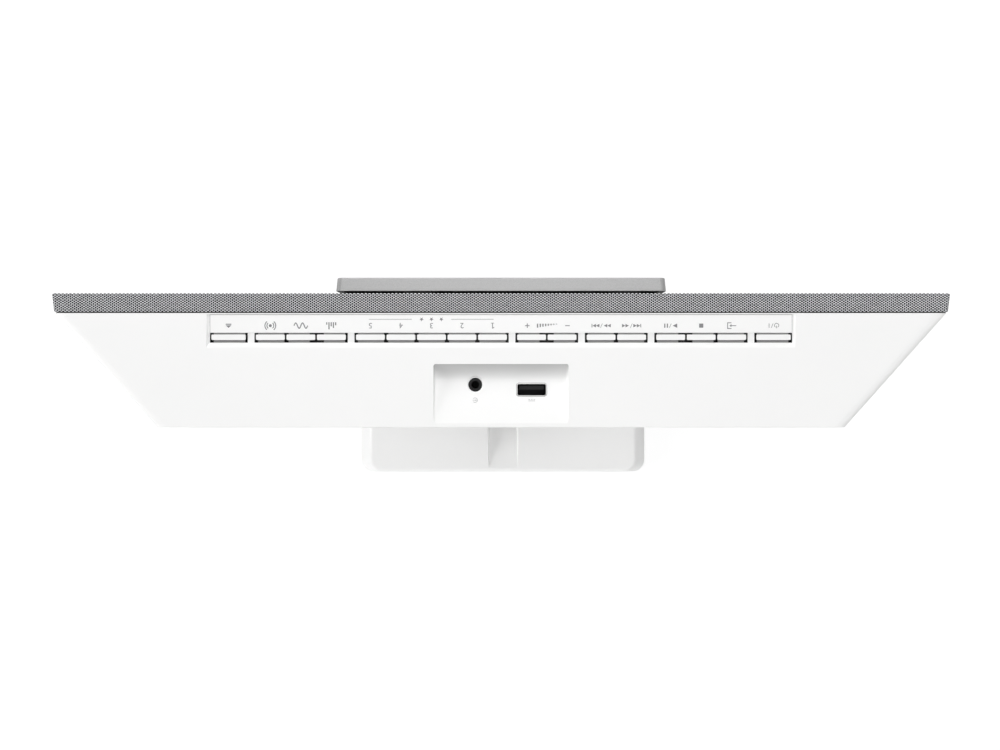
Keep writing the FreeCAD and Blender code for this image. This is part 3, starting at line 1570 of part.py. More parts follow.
def all_nodes():
    nodes = {
        "rear_cabinet": rear_cabinet(),
        "front_grille": front_grille(),
        "front_baffle": front_baffle(),
        "legend_strip": legend_strip(),
        "button_board": button_board(),
        "stand_foot": stand_foot(),
        "rubber_feet": rubber_feet(),
        "case_screws": case_screws(),
        "stand_screws": stand_screws(),
        "door_panel": door_panel(),
        "door_liner": door_liner(),
        "door_rack": door_rack(),
        "door_rails": door_rails(),
        "door_gear": door_gear(),
        "door_motor_pinion": door_motor_pinion(),
        "door_motor": door_motor(),
        "disc_tray": disc_tray(),
        "drive_chassis": drive_chassis(),
        "drive_dampers": drive_dampers(),
        "turntable": turntable(),
        "spindle_motor": spindle_motor(),
        "optical_pickup": optical_pickup(),
        "pickup_lens": pickup_lens(),
        "pickup_guide_rods": pickup_guide_rods(),
        "sled_gear": sled_gear(),
        "sled_motor_pinion": sled_motor_pinion(),
        "sled_motor": sled_motor(),
        "main_board": main_board(),
        "power_board": power_board(),
        "display_window": display_window(),
        "display_module": display_module(),
        "usb_socket": usb_socket(),
        "aux_jack": aux_jack(),
        "mains_inlet": mains_inlet(),
        "antenna_socket": antenna_socket(),
    }
    for side, x in (("left", -speaker_x), ("right", speaker_x)):
        nodes[side + "_speaker_basket"] = speaker_basket(x)
        nodes[side + "_speaker_magnet"] = speaker_magnet(x)
        nodes[side + "_speaker_cone"] = speaker_cone(x)
        nodes[side + "_speaker_surround"] = speaker_surround(x)
    for group in key_groups:
        for name in group:
            nodes["button_" + name] = key_shape(name)
    return nodes


def main():
    os.makedirs("parts", exist_ok=True)
    for name, shape in all_nodes().items():
        shape.exportStep(os.path.join("parts", name + ".step"))


if __name__ == "__main__":
    main()
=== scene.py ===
import json
import math
import bmesh
import bpy
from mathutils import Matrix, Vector


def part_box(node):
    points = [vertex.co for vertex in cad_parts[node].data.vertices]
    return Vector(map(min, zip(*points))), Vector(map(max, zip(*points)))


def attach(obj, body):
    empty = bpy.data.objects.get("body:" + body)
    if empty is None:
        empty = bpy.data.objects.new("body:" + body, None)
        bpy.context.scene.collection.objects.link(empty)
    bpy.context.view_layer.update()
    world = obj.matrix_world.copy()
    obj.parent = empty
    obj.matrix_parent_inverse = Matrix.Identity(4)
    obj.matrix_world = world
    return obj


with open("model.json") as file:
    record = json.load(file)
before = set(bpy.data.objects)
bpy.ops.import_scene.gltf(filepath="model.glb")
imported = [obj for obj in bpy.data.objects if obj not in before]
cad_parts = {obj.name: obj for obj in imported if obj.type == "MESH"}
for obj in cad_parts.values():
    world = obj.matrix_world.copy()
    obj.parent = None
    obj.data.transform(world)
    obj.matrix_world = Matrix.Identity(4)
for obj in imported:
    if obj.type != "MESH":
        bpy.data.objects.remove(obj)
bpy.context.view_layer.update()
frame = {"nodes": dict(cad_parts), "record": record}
nodes = frame["nodes"]
scene = bpy.context.scene
MM = 0.001


# Node trees

class Graph:
    """A material's node tree with short calls that add nodes and join them."""

    def __init__(self, name):
        self.material = bpy.data.materials.new(name)
        self.material.use_nodes = True
        self.tree = self.material.node_tree
        self.tree.nodes.clear()
        self.output = self.tree.nodes.new("ShaderNodeOutputMaterial")
        self.shader = self.add("ShaderNodeBsdfPrincipled")
        self.join(self.shader.outputs["BSDF"], self.output.inputs["Surface"])

    def add(self, kind, **settings):
        node = self.tree.nodes.new(kind)
        for key, value in settings.items():
            setattr(node, key, value)
        return node

    def join(self, source, target):
        self.tree.links.new(source, target)

    def feed(self, socket, value):
        if isinstance(value, bpy.types.NodeSocket):
            self.join(value, socket)
        else:
            socket.default_value = value

    def set(self, **values):
        for key, value in values.items():
            self.feed(self.shader.inputs[key.replace("_", " ")], value)

    def math(self, operation, *values):
        node = self.add("ShaderNodeMath", operation=operation)
        for socket, value in zip(node.inputs, values):
            self.feed(socket, value)
        return node.outputs[0]

    def place(self):
        return self.add("ShaderNodeTexCoord").outputs["Object"]

    def axes(self, vector):
        node = self.add("ShaderNodeSeparateXYZ")
        self.join(vector, node.inputs[0])
        return node.outputs

    def length(self, x, y):
        both = self.add("ShaderNodeCombineXYZ")
        self.feed(both.inputs[0], x)
        self.feed(both.inputs[1], y)
        node = self.add("ShaderNodeVectorMath", operation="LENGTH")
        self.join(both.outputs[0], node.inputs[0])
        return node.outputs["Value"]

    def stretched(self, x, y, z):
        node = self.add("ShaderNodeMapping")
        self.join(self.place(), node.inputs["Vector"])
        node.inputs["Scale"].default_value = (x, y, z)
        return node.outputs[0]

    def noise(self, size, detail=3.0, vector=None):
        """A noise between 0 and 1 whose grains are about size metres wide."""
        node = self.add("ShaderNodeTexNoise")
        self.join(vector or self.place(), node.inputs["Vector"])
        node.inputs["Scale"].default_value = 1.0 / size
        node.inputs["Detail"].default_value = detail
        return node.outputs["Fac"]

    def cells(self, size):
        node = self.add("ShaderNodeTexVoronoi")
        self.join(self.place(), node.inputs["Vector"])
        node.inputs["Scale"].default_value = 1.0 / size
        return node.outputs["Color"]

    def spread(self, value, low, high, start=0.0, end=1.0, smooth=False):
        node = self.add("ShaderNodeMapRange")
        if smooth:
            node.interpolation_type = "SMOOTHSTEP"
        self.feed(node.inputs["Value"], value)
        node.inputs["From Min"].default_value = start
        node.inputs["From Max"].default_value = end
        node.inputs["To Min"].default_value = low
        node.inputs["To Max"].default_value = high
        return node.outputs["Result"]

    def blend(self, factor, first, second):
        node = self.add("ShaderNodeMix", data_type="RGBA")
        self.feed(node.inputs["Factor"], factor)
        self.feed(node.inputs["A"], first)
        self.feed(node.inputs["B"], second)
        return node.outputs["Result"]

    def within(self, low, high):
        """One inside a box with these corners in metres, and zero outside it."""
        inside = None
        for part, least, most in zip(self.axes(self.place()), low, high):
            for operation, limit in (("GREATER_THAN", least), ("LESS_THAN", most)):
                test = self.math(operation, part, limit)
                inside = test if inside is None else self.math("MULTIPLY", inside, test)
        return inside

    def bump(self, height, depth, strength=1.0):
        node = self.add("ShaderNodeBump")
        node.inputs["Distance"].default_value = depth
        node.inputs["Strength"].default_value = strength
        self.join(height, node.inputs["Height"])
        self.join(node.outputs[0], self.shader.inputs["Normal"])


def shade(color, factor):
    return tuple(min(1.0, part * factor) for part in color[:3]) + (1.0,)


# Materials

HOLLOW_BLACK = (0.012, 0.012, 0.013, 1.0)


def moulded(name, color, roughness, grain=0.35 * MM, depth=0.012 * MM, drift=0.02, specular=0.5,
            inside=(), painted_shades=()):
    """A moulded plastic: fine spark texture in the bump, slow drift in colour and gloss.

    inside lists boxes, each with the colour that the plastic has within it; here these colours are
    painted light and painted shade. The last argument lists boxes of painted shade, each with the
    share of the colour that is left at its front. The share grows to one at its back.
    """
    graph = Graph(name)
    slow = graph.noise(45 * MM, 2.0)
    fine = graph.noise(grain, 2.0)
    tone = graph.blend(slow, shade(color, 1 - drift), shade(color, 1 + drift))
    # Painted light and painted shade: each box takes its own colour
    for low, high, other in inside:
        tone = graph.blend(graph.within(low, high), tone, other + (1.0,))
    # Painted shade: the colour darkens towards the front of each box
    for low, high, share in painted_shades:
        left = graph.spread(graph.axes(graph.place())[1], share, 1.0, low[1], high[1])
        shaded = graph.blend(left, (0.0, 0.0, 0.0, 1.0), tone)
        tone = graph.blend(graph.within(low, high), tone, shaded)
    graph.set(Base_Color=tone, Specular_IOR_Level=specular)
    graph.set(Roughness=graph.spread(slow, roughness - 0.04, roughness + 0.04, 0.3, 0.7))
    graph.bump(fine, depth)
    return graph.material


def satin_paint(name, color, roughness, metallic):
    """Silver paint: tiny flakes that differ in tone, under a satin coat with slight orange peel."""
    graph = Graph(name)
    flake = graph.axes(graph.cells(0.18 * MM))[0]
    peel = graph.noise(1.6 * MM, 2.0)
    graph.set(Base_Color=graph.blend(flake, shade(color, 0.9), shade(color, 1.1)))
    graph.set(Metallic=metallic, Coat_Weight=0.25, Coat_Roughness=0.3)
    graph.set(Roughness=graph.spread(flake, roughness - 0.05, roughness + 0.05))
    graph.bump(peel, 0.01 * MM, 0.6)
    return graph.material


def drawn_metal(name, color, roughness, direction, inside=()):
    """Plated metal with fine lines along one direction and a cloudy gloss.

    inside lists boxes within which it is black and not metallic: partly a dark insulator, partly
    painted shade down the hollow.
    """
    graph = Graph(name)
    scale = [1.0, 1.0, 1.0]
    scale[direction] = 0.04
    lines = graph.noise(0.12 * MM, 3.0, graph.stretched(*scale))
    cloud = graph.noise(6 * MM, 2.0)
    tone = graph.blend(cloud, shade(color, 0.92), shade(color, 1.06))
    graph.set(Metallic=1.0)
    # Painted shade: black and not metallic within each box
    for low, high in inside:
        within = graph.within(low, high)
        tone = graph.blend(within, tone, HOLLOW_BLACK)
        graph.set(Metallic=graph.math("SUBTRACT", 1.0, within), Specular_IOR_Level=0.1)
    graph.set(Base_Color=tone)
    graph.set(Roughness=graph.spread(lines, roughness - 0.08, roughness + 0.12, 0.3, 0.7))
    graph.bump(lines, 0.006 * MM, 0.7)
    return graph.material


def perforated(name, color):
    """Silver sheet with staggered round holes that follow the fold onto the lips."""
    pitch = 1.694 * MM
    row = 0.554 * MM
    hole_radius = 0.45 * MM
    soft = 0.05 * MM
    facing = 0.7
    graph = Graph(name)
    x, y, z = graph.axes(graph.place())
    normal = graph.axes(graph.add("ShaderNodeNewGeometry").outputs["True Normal"])
    on_side = graph.math("GREATER_THAN", graph.math("ABSOLUTE", normal[0]), facing)
    on_top = graph.math("GREATER_THAN", graph.math("ABSOLUTE", normal[2]), facing)

    def chosen(mask, plain, other):
        step = graph.math("SUBTRACT", other, plain)
        return graph.math("ADD", plain, graph.math("MULTIPLY", mask, step))

    across = chosen(on_side, x, y)
    along = chosen(on_top, z, y)

    def offset(value, period, shift):
        """The distance to the nearest of the points that lie one period apart."""
        return graph.math("WRAP", graph.math("ADD", value, shift), period / 2, -period / 2)

    first = graph.length(offset(across, pitch, 0.0), offset(along, 2 * row, 0.0))
    second = graph.length(offset(across, pitch, pitch / 2), offset(along, 2 * row, row))
    distance = graph.math("MINIMUM", first, second)
    sheet = graph.spread(distance, 0.0, 1.0, hole_radius - soft, hole_radius + soft, smooth=True)
    flake = graph.axes(graph.cells(0.15 * MM))[0]
    silver = graph.blend(flake, shade(color, 0.92), shade(color, 1.08))
    graph.set(Base_Color=graph.blend(sheet, HOLLOW_BLACK, silver))
    graph.set(Metallic=graph.math("MULTIPLY", sheet, 0.25))
    graph.set(Roughness=graph.spread(sheet, 0.9, 0.42), Specular_IOR_Level=0.3)
    graph.bump(sheet, 0.2 * MM, 0.8)
    return graph.material


def rubber(name, color):
    """Matt rubber with a little dust and a fine grain."""
    graph = Graph(name)
    dust = graph.noise(3 * MM, 4.0)
    grain = graph.noise(0.25 * MM, 2.0)
    graph.set(Base_Color=graph.blend(dust, shade(color, 0.8), shade(color, 1.5)))
    graph.set(Roughness=graph.spread(dust, 0.7, 0.9), Specular_IOR_Level=0.3)
    graph.bump(grain, 0.03 * MM)
    return graph.material


def circuit_board(name, color):
    """Solder mask over copper: lanes that are a little lighter, and a fine weave under them."""
    lane_pitch = 1.4 * MM
    lane_width = 0.5 * MM
    soft = 0.1 * MM
    graph = Graph(name)
    x, _, z = graph.axes(graph.place())
    lane = graph.math("WRAP", graph.math("ADD", x, z), lane_pitch, 0.0)
    copper = graph.spread(lane, 1.0, 0.0, lane_width, lane_width + soft, smooth=True)
    patch = graph.noise(9 * MM, 1.0)
    shown = graph.math("MULTIPLY", copper, graph.math("GREATER_THAN", patch, 0.5))
    weave = graph.noise(0.3 * MM, 2.0)
    graph.set(Base_Color=graph.blend(shown, color + (1.0,), shade(color, 1.6)))
    graph.set(Roughness=graph.spread(weave, 0.3, 0.45))
    graph.bump(shown, 0.03 * MM)
    return graph.material


def paper_cone(name, color):
    """Pressed paper with its fibres."""
    graph = Graph(name)
    fibre = graph.noise(0.5 * MM, 5.0)
    graph.set(Base_Color=graph.blend(fibre, shade(color, 0.7), shade(color, 1.6)), Sheen_Weight=0.2)
    graph.set(Roughness=graph.spread(fibre, 0.75, 0.95))
    graph.bump(fibre, 0.08 * MM)
    return graph.material


def ferrite(name, color):
    """Sintered magnet with a coarse grain."""
    graph = Graph(name)
    grain = graph.noise(0.4 * MM, 4.0)
    graph.set(Base_Color=graph.blend(grain, shade(color, 0.7), shade(color, 1.4)), Metallic=0.3)
    graph.set(Roughness=graph.spread(grain, 0.5, 0.75))
    graph.bump(grain, 0.05 * MM)
    return graph.material


def smoked(name):
    """A polished dark window that lets a little of the display through."""
    graph = Graph(name)
    haze = graph.noise(12 * MM, 2.0)
    graph.set(Base_Color=(0.008, 0.008, 0.010, 1.0), Alpha=0.45)
    graph.set(Coat_Weight=1.0, Coat_Roughness=0.03, Roughness=graph.spread(haze, 0.06, 0.12))
    return graph.material


def lens_glass(name):
    """A small coated lens with a violet tint."""
    graph = Graph(name)
    rim = graph.noise(1 * MM, 1.0)
    graph.set(Base_Color=graph.blend(rim, (0.03, 0.04, 0.12, 1.0), (0.10, 0.07, 0.18, 1.0)))
    graph.set(Coat_Weight=1.0, Coat_Roughness=0.02, Roughness=graph.spread(rim, 0.05, 0.12))
    return graph.material


def ink(name, color):
    """Matt print."""
    graph = Graph(name)
    print_grain = graph.noise(0.12 * MM, 2.0)
    graph.set(Base_Color=graph.blend(print_grain, shade(color, 0.85), shade(color, 1.2)))
    graph.set(Roughness=graph.spread(print_grain, 0.45, 0.6))
    return graph.material


def glowing(name, color, strength):
    """The lit segments of a display."""
    graph = Graph(name)
    phosphor = graph.noise(0.3 * MM, 2.0)
    graph.set(Base_Color=(0.02, 0.03, 0.03, 1.0), Emission_Color=color + (1.0,), Roughness=0.6)
    graph.set(Emission_Strength=graph.spread(phosphor, strength * 0.85, strength * 1.1, 0.3, 0.7))
    return graph.material


white = (0.9, 0.9, 0.896)
black = (0.010, 0.010, 0.0105)
shadow_black = (0.012, 0.012, 0.012)

# Boxes in which a material's colour differs, all painted light or painted shade: painted shade is
# black in the key slots and on the keys below their tops, dark at the seam behind the grille, grey
# on the keys' flanges and fading at the front of the socket pocket; down the USB socket the black
# is partly the insulator and partly painted shade; painted light makes the foot whiter. Each has
# its low corner and its high corner, and then the colour, or the share of it that is left at the
# pocket's front.

far = 1.0
lowest = (-far, -far, -far)
skin = 0.05 * MM

eject_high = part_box("button_eject")[1]
power_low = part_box("button_power")[0]
row_middle = (power_low[1] + eject_high[1]) / 2
recess_floor = eject_high[2] - 0.6 * MM
flange_top = recess_floor - 1.0 * MM
cap_half = 1.22 * MM
# Painted shade: the white plastic of the key slots is painted black
key_slot_shade = ((power_low[0] - 3 * MM, power_low[1] - 2 * MM, recess_floor - 4 * MM),
             (eject_high[0] + 3 * MM, eject_high[1] + 2 * MM, recess_floor - skin), shadow_black)
# Painted shade: each key is black below a little over its recess floor, on its sides and stem
key_lower_shade = (lowest, (far, far, recess_floor + 0.2 * MM), shadow_black)
# Painted shade: the white flanges that show in the gaps are grey, lighter at the front than at the
# back
flange_front_shade = ((-far, -far, flange_top - skin),
                (far, row_middle - cap_half, flange_top + skin), (0.42, 0.42, 0.42))
flange_back_shade = ((-far, row_middle + cap_half, flange_top - skin),
               (far, far, flange_top + skin), (0.3, 0.3, 0.3))

cabinet_low, cabinet_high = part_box("rear_cabinet")
seam = cabinet_low[1]
# Painted shade: a dark strip on the cabinet's front edge at the seam behind the grille
seam_shade = (lowest, (far, seam + 0.2 * MM, far), (0.05, 0.05, 0.05))

# Painted shade at the front of the socket pocket: the colour falls to a share of itself at the
# front edge and grows back over the length of the fade
pocket_half = 30.1 * MM
pocket_front = seam + 22.9 * MM
pocket_depth = 8 * MM
pocket_shade_length = 7 * MM
pocket_shade_share = 0.56
pocket_painted_shade = ((-pocket_half, pocket_front, cabinet_high[2] - pocket_depth),
                (pocket_half, pocket_front + pocket_shade_length, cabinet_high[2] - 0.03 * MM),
                pocket_shade_share)

# Painted light: the foot is painted whiter than the rest of the white plastic
foot_height = 17.2 * MM
foot_painted_light = (lowest, (far, far, foot_height), (0.94, 0.94, 0.936))

# Painted shade down the USB socket below its rim, together with its dark insulator
usb_low, usb_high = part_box("usb_socket")
usb_rim = 0.25 * MM
usb_hollow_shade = (tuple(usb_low), (usb_high[0], usb_high[1], usb_high[2] - usb_rim))

materials = {
    "white_plastic": moulded("white_plastic", white, 0.46,
                             inside=[key_slot_shade, foot_painted_light, seam_shade], painted_shades=[pocket_painted_shade]),
    "key_plastic": moulded("key_plastic", white, 0.38, grain=0.2 * MM, depth=0.006 * MM,
                           inside=[key_lower_shade, flange_front_shade, flange_back_shade]),
    "legend_film": moulded("legend_film", white, 0.34, grain=0.15 * MM, depth=0.004 * MM),
    "grille_metal": perforated("grille_metal", (0.84, 0.852, 0.872)),
    "silver_paint": satin_paint("silver_paint", (0.288, 0.288, 0.288), 0.4, 0.3),
    "black_plastic": moulded("black_plastic", black, 0.5, specular=0.15),
    "tray_plastic": moulded("tray_plastic", (0.045, 0.045, 0.048), 0.42),
    "smoked_window": smoked("smoked_window"),
    "steel": drawn_metal("steel", (0.62, 0.62, 0.61), 0.32, 0),
    "dark_steel": drawn_metal("dark_steel", (0.10, 0.10, 0.103), 0.45, 0),
    "motor_steel": drawn_metal("motor_steel", (0.55, 0.55, 0.54), 0.36, 1),
    "socket_metal": drawn_metal("socket_metal", (0.36, 0.36, 0.357), 0.4, 2,
                                inside=[usb_hollow_shade]),
    "gear_plastic": moulded("gear_plastic", (0.82, 0.81, 0.76), 0.4),
    "circuit_board": circuit_board("circuit_board", (0.02, 0.10, 0.04)),
    "black_board": circuit_board("black_board", (0.010, 0.010, 0.011)),
    "magnet_ferrite": ferrite("magnet_ferrite", (0.07, 0.07, 0.072)),
    "cone_paper": paper_cone("cone_paper", (0.035, 0.035, 0.036)),
    "soft_rubber": rubber("soft_rubber", (0.025, 0.025, 0.026)),
    "lens_glass": lens_glass("lens_glass"),
}
legend_ink = ink("legend_ink", (0.2, 0.2, 0.205))
faint_ink = ink("faint_ink", (0.42, 0.42, 0.425))
display_glow = glowing("display_glow", (0.62, 0.86, 1.0), 1.4)

# The plate behind the disc well is blackened, unlike the other steel
finish_of_node = {"drive_chassis": "dark_steel"}
for entry in frame["record"]["subparts"]:
    mesh = nodes[entry["node"]].data
    mesh.materials.clear()
    finish = finish_of_node.get(entry["node"], entry["material_slot"])
    mesh.materials.append(materials[finish])


# Flat printed marks, drawn in millimetres as convex shapes: u runs to the right and v upwards for
# someone who stands in front

def moved(shapes, u, v, scale=1.0):
    return [[(u + scale * a, v + scale * b) for a, b in shape] for shape in shapes]


def bar(u0, v0, u1, v1):
    return [[(u0, v0), (u1, v0), (u1, v1), (u0, v1)]]


def line(points, width):
    """A mitred stroke through the points."""
    half = width / 2
    sharpest = 0.35
    sides = []
    for index, (u, v) in enumerate(points):
        before = points[max(index - 1, 0)]
        after = points[min(index + 1, len(points) - 1)]
        onward = Vector((after[0] - u, after[1] - v))
        first = Vector((u - before[0], v - before[1])) if index else onward.copy()
        last = onward if index < len(points) - 1 else first
        first.normalize()
        last.normalize()
        normal = Vector((-first.y - last.y, first.x + last.x)).normalized()
        normal *= half / max(sharpest, normal.dot(Vector((-first.y, first.x))))
        sides.append(((u + normal.x, v + normal.y), (u - normal.x, v - normal.y)))
    return [[a[1], b[1], b[0], a[0]] for a, b in zip(sides, sides[1:])]


def arc(u, v, radius, start, end, width, steps=20):
    angles = [math.radians(start + (end - start) * step / steps) for step in range(steps + 1)]
    return line([(u + radius * math.cos(a), v + radius * math.sin(a)) for a in angles], width)


def dot(u, v, radius, steps=20):
    angles = [2 * math.pi * step / steps for step in range(steps)]
    return [[(u + radius * math.cos(a), v + radius * math.sin(a)) for a in angles]]


def triangle(u0, u1, half):
    """A solid triangle from its base at u0 to its tip at u1."""
    points = [(u0, -half), (u1, 0.0), (u0, half)]
    return [points if u1 > u0 else points[::-1]]


def eject_mark():
    return [[(-1.25, -0.15), (1.25, -0.15), (0.0, 1.0)]] + bar(-1.25, -0.85, 1.25, -0.4)


def ring_mark():
    marks = dot(0, 0, 0.42)
    for radius in (0.95, 1.5):
        marks += arc(0, 0, radius, -50, 50, 0.26) + arc(0, 0, radius, 130, 230, 0.26)
    return marks


def wave_mark():
    steps, turns, half, height = 32, 2, 1.9, 0.75
    points = []
    for step in range(steps + 1):
        share = step / steps
        points.append((-half + 2 * half * share, height * math.sin(2 * math.pi * turns * share)))
    return line(points, 0.3)


def bars_mark():
    marks = []
    for index, height in enumerate((0.9, 1.7, 1.2, 2.1, 0.7)):
        u = -1.45 + index * 0.66
        marks += bar(u, -1.0, u + 0.36, -1.0 + height)
    return marks


def minus_mark():
    return bar(-1.0, -0.19, 1.0, 0.19)


def plus_mark():
    return minus_mark() + bar(-0.19, 0.19, 0.19, 1.0) + bar(-0.19, -1.0, 0.19, -0.19)


def volume_mark():
    """Bars that rise from left to right."""
    marks = []
    for index in range(8):
        u = -4.6 + index * 1.2
        marks += bar(u, -0.85, u + 0.62, -0.55 + index * 0.2)
    return marks


def slash_mark(u):
    return line([(u - 0.42, -0.95), (u + 0.42, 0.95)], 0.2)


def skip_mark(sign):
    """Two arrows for searching, then two with a bar for skipping, mirrored for the way back."""
    length, half = 1.55, 0.78
    marks = slash_mark(-0.15 * sign)
    for base in (-4.3, -2.75, 0.75, 2.3):
        marks += triangle(sign * base, sign * (base + length), half)
    low, high = sorted((sign * 3.9, sign * 4.25))
    return marks + bar(low, -half, high, half)


def play_pause_mark():
    pause = bar(1.2, -0.9, 1.75, 0.9) + bar(2.35, -0.9, 2.9, 0.9)
    return triangle(-2.9, -0.9, 0.95) + slash_mark(0.15) + pause


def stop_mark():
    return bar(-0.8, -0.8, 0.8, 0.8)


def source_mark():
    """An arrow into an open frame."""
    frame_points = [(0.1, 0.95), (1.35, 0.95), (1.35, -0.95), (0.1, -0.95)]
    return line(frame_points, 0.26) + bar(-1.5, -0.13, 0.1, 0.13) + triangle(0.1, 0.75, 0.5)


def power_mark():
    ring = arc(-1.4, -0.1, 0.95, 125, 415, 0.26, 32) + bar(-1.53, 0.0, -1.27, 1.15)
    return ring + slash_mark(0.6) + bar(1.85, -0.95, 2.12, 0.95)


def star_mark():
    """A star with five points, one millimetre from its middle to a tip."""
    wing = math.pi / 5
    notch = 0.4
    marks = []
    for index in range(5):
        tip = math.pi / 2 + 2 * wing * index
        corners = ((notch, tip - wing), (1.0, tip), (notch, tip + wing))
        marks.append([(0.0, 0.0)] + [(reach * math.cos(turn), reach * math.sin(turn))
                                     for reach, turn in corners])
    return marks


def input_mark():
    """An arrow into an open ring."""
    arrow = bar(-0.2, -0.12, 1.1, 0.12) + triangle(-0.2, -0.75, 0.42)
    return arc(0, 0, 1.0, 40, 320, 0.24, 28) + arrow


def direct_current_mark():
    """A line over three dashes."""
    marks = bar(-1.5, 0.2, 1.5, 0.45)
    for index in range(3):
        u = -1.5 + index * 1.15
        marks += bar(u, -0.45, u + 0.7, -0.2)
    return marks


def one_mark():
    """The figure 1 with a foot."""
    flag = line([(-0.75, 0.7), (-0.05, 1.2)], 0.28)
    return bar(-0.17, -1.25, 0.17, 1.25) + flag + bar(-0.7, -1.25, 0.7, -1.0)


def digit_marks(text, height):
    """The outlines of a number in the built-in font, as triangles."""
    figure_share = 0.72
    curve = bpy.data.curves.new("digit", "FONT")
    curve.body = text
    curve.size = height / figure_share
    curve.align_x = "CENTER"
    helper = bpy.data.objects.new("digit", curve)
    mesh = bpy.data.meshes.new_from_object(helper)
    mesh.calc_loop_triangles()
    low = min(vertex.co.y for vertex in mesh.vertices)
    high = max(vertex.co.y for vertex in mesh.vertices)
    middle = (low + high) / 2
    points = [(vertex.co.x, vertex.co.y - middle) for vertex in mesh.vertices]
    shapes = [[points[index] for index in face.vertices] for face in mesh.loop_triangles]
    bpy.data.objects.remove(helper)
    bpy.data.meshes.remove(mesh)
    bpy.data.curves.remove(curve)
    return shapes


def printed(name, shapes, place, thickness, material, body):
    """A thin raised print from flat shapes. place maps (u, v, height) in millimetres to metres."""
    mesh = bpy.data.meshes.new(name)
    build = bmesh.new()
    for shape in shapes:
        low = [build.verts.new(place(u, v, 0.0)) for u, v in shape]
        high = [build.verts.new(place(u, v, thickness)) for u, v in shape]
        build.faces.new(low[::-1])
        build.faces.new(high)
        for index in range(len(shape)):
            after = (index + 1) % len(shape)
            build.faces.new((low[index], low[after], high[after], high[index]))
    bmesh.ops.recalc_face_normals(build, faces=build.faces)
    build.to_mesh(mesh)
    build.free()
    piece = bpy.data.objects.new(name, mesh)
    scene.collection.objects.link(piece)
    mesh.materials.append(material)
    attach(piece, body)


def key_middle(name):
    """The middle of a key's width, in millimetres."""
    low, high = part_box("button_" + name)
    return (low[0] + high[0]) / 2 / MM


# Legends on the strip in front of the keys

strip_low, strip_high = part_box("legend_strip")
strip_front = strip_low[1] / MM
strip_back = strip_high[1] / MM
main_line = strip_front + 0.62 * (strip_back - strip_front)
upper_line = strip_front + 0.27 * (strip_back - strip_front)


def on_strip(u, v, height):
    return Vector((u * MM, v * MM, strip_high[2] + height * MM))


legend = []
for name, mark, scale in (
    ("eject", eject_mark(), 1.0), ("surround", ring_mark(), 1.6), ("bass", wave_mark(), 1.6),
    ("sound_field", bars_mark(), 1.5),
    ("skip_back", skip_mark(-1), 1.0), ("skip_forward", skip_mark(1), 1.0),
    ("play_pause", play_pause_mark(), 1.0), ("stop", stop_mark(), 1.15),
    ("selector", source_mark(), 1.35), ("power", power_mark(), 1.0),
):
    legend += moved(mark, key_middle(name), main_line, scale)
digit_height = 2.5
for number in range(2, 6):
    digit = digit_marks(str(number), digit_height)
    legend += moved(digit, key_middle("favourite_%d" % number), main_line)
legend += moved(one_mark(), key_middle("favourite_1"), main_line)

# The signs for volume stand a little off the middles of their keys
volume_middle = (key_middle("volume_up") + key_middle("volume_down")) / 2
legend += moved(volume_mark(), volume_middle, main_line)
legend += moved(plus_mark(), key_middle("volume_up") + 1.9, main_line)
legend += moved(minus_mark(), key_middle("volume_down") - 2.4, main_line)

favourite_left = key_middle("favourite_1") - 0.5
favourite_right = key_middle("favourite_5") + 0.7
favourite_middle = key_middle("favourite_3")
star_step = 4.4
for outer, inner in ((favourite_left, favourite_middle - 2 * star_step),
                     (favourite_right, favourite_middle + 2 * star_step)):
    legend += line([(outer, upper_line), (inner, upper_line)], 0.2)
for index in (-1, 0, 1):
    legend += moved(star_mark(), favourite_middle + index * star_step, upper_line)
printed("key_legends", legend, on_strip, 0.03, legend_ink, "cabinet")

border_inset = 0.15
border_left = strip_low[0] / MM + border_inset
border_right = strip_high[0] / MM - border_inset
border_front = strip_front + border_inset
border = line([(border_left, strip_back), (border_left, border_front),
               (border_right, border_front), (border_right, strip_back)], 0.22)
printed("strip_border", border, on_strip, 0.02, faint_ink, "cabinet")

# Marks beside the two sockets in the pocket

jack_low, jack_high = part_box("aux_jack")
jack_x = (jack_low[0] + jack_high[0]) / 2 / MM
usb_x = (usb_low[0] + usb_high[0]) / 2 / MM
pocket_slope = math.tan(math.radians(11.5))
marks_y = 1.9


def on_pocket(u, v, height):
    rise = (v * MM - usb_low[1]) * pocket_slope
    return Vector((u * MM, v * MM, usb_high[2] + 0.1 * MM + rise + height * MM))


pocket_marks = moved(input_mark(), jack_x, marks_y) + moved(direct_current_mark(), usb_x, marks_y)
printed("socket_marks", pocket_marks, on_pocket, 0.02, faint_ink, "cabinet")

# Clock digits on the display, behind the smoked window

segments = {
    "a": (0, 1, 1, 1), "b": (1, 0.5, 1, 1), "c": (1, 0, 1, 0.5), "d": (0, 0, 1, 0),
    "e": (0, 0, 0, 0.5), "f": (0, 0.5, 0, 1), "g": (0, 0.5, 1, 0.5),
}
numerals = {"0": "abcdef", "1": "bc", "2": "abged"}


figure_width = 2.6
figure_height = 5.0


def numeral(character):
    """A figure of six-cornered segments that leans a little, from its lower left corner."""
    half, gap, lean = 0.275, 0.12, 0.08
    shapes = []
    for name in numerals[character]:
        u0, v0, u1, v1 = segments[name]
        a, b, c, d = u0 * figure_width, v0 * figure_height, u1 * figure_width, v1 * figure_height
        if v0 == v1:
            left, right = a + gap, c - gap
            points = [(left, b), (left + half, b - half), (right - half, b - half),
                      (right, b), (right - half, b + half), (left + half, b + half)]
        else:
            low, high = b + gap, d - gap
            points = [(a, low), (a + half, low + half), (a + half, high - half),
                      (a, high), (a - half, high - half), (a - half, low + half)]
        shapes.append([(u + lean * v, v) for u, v in points])
    return shapes


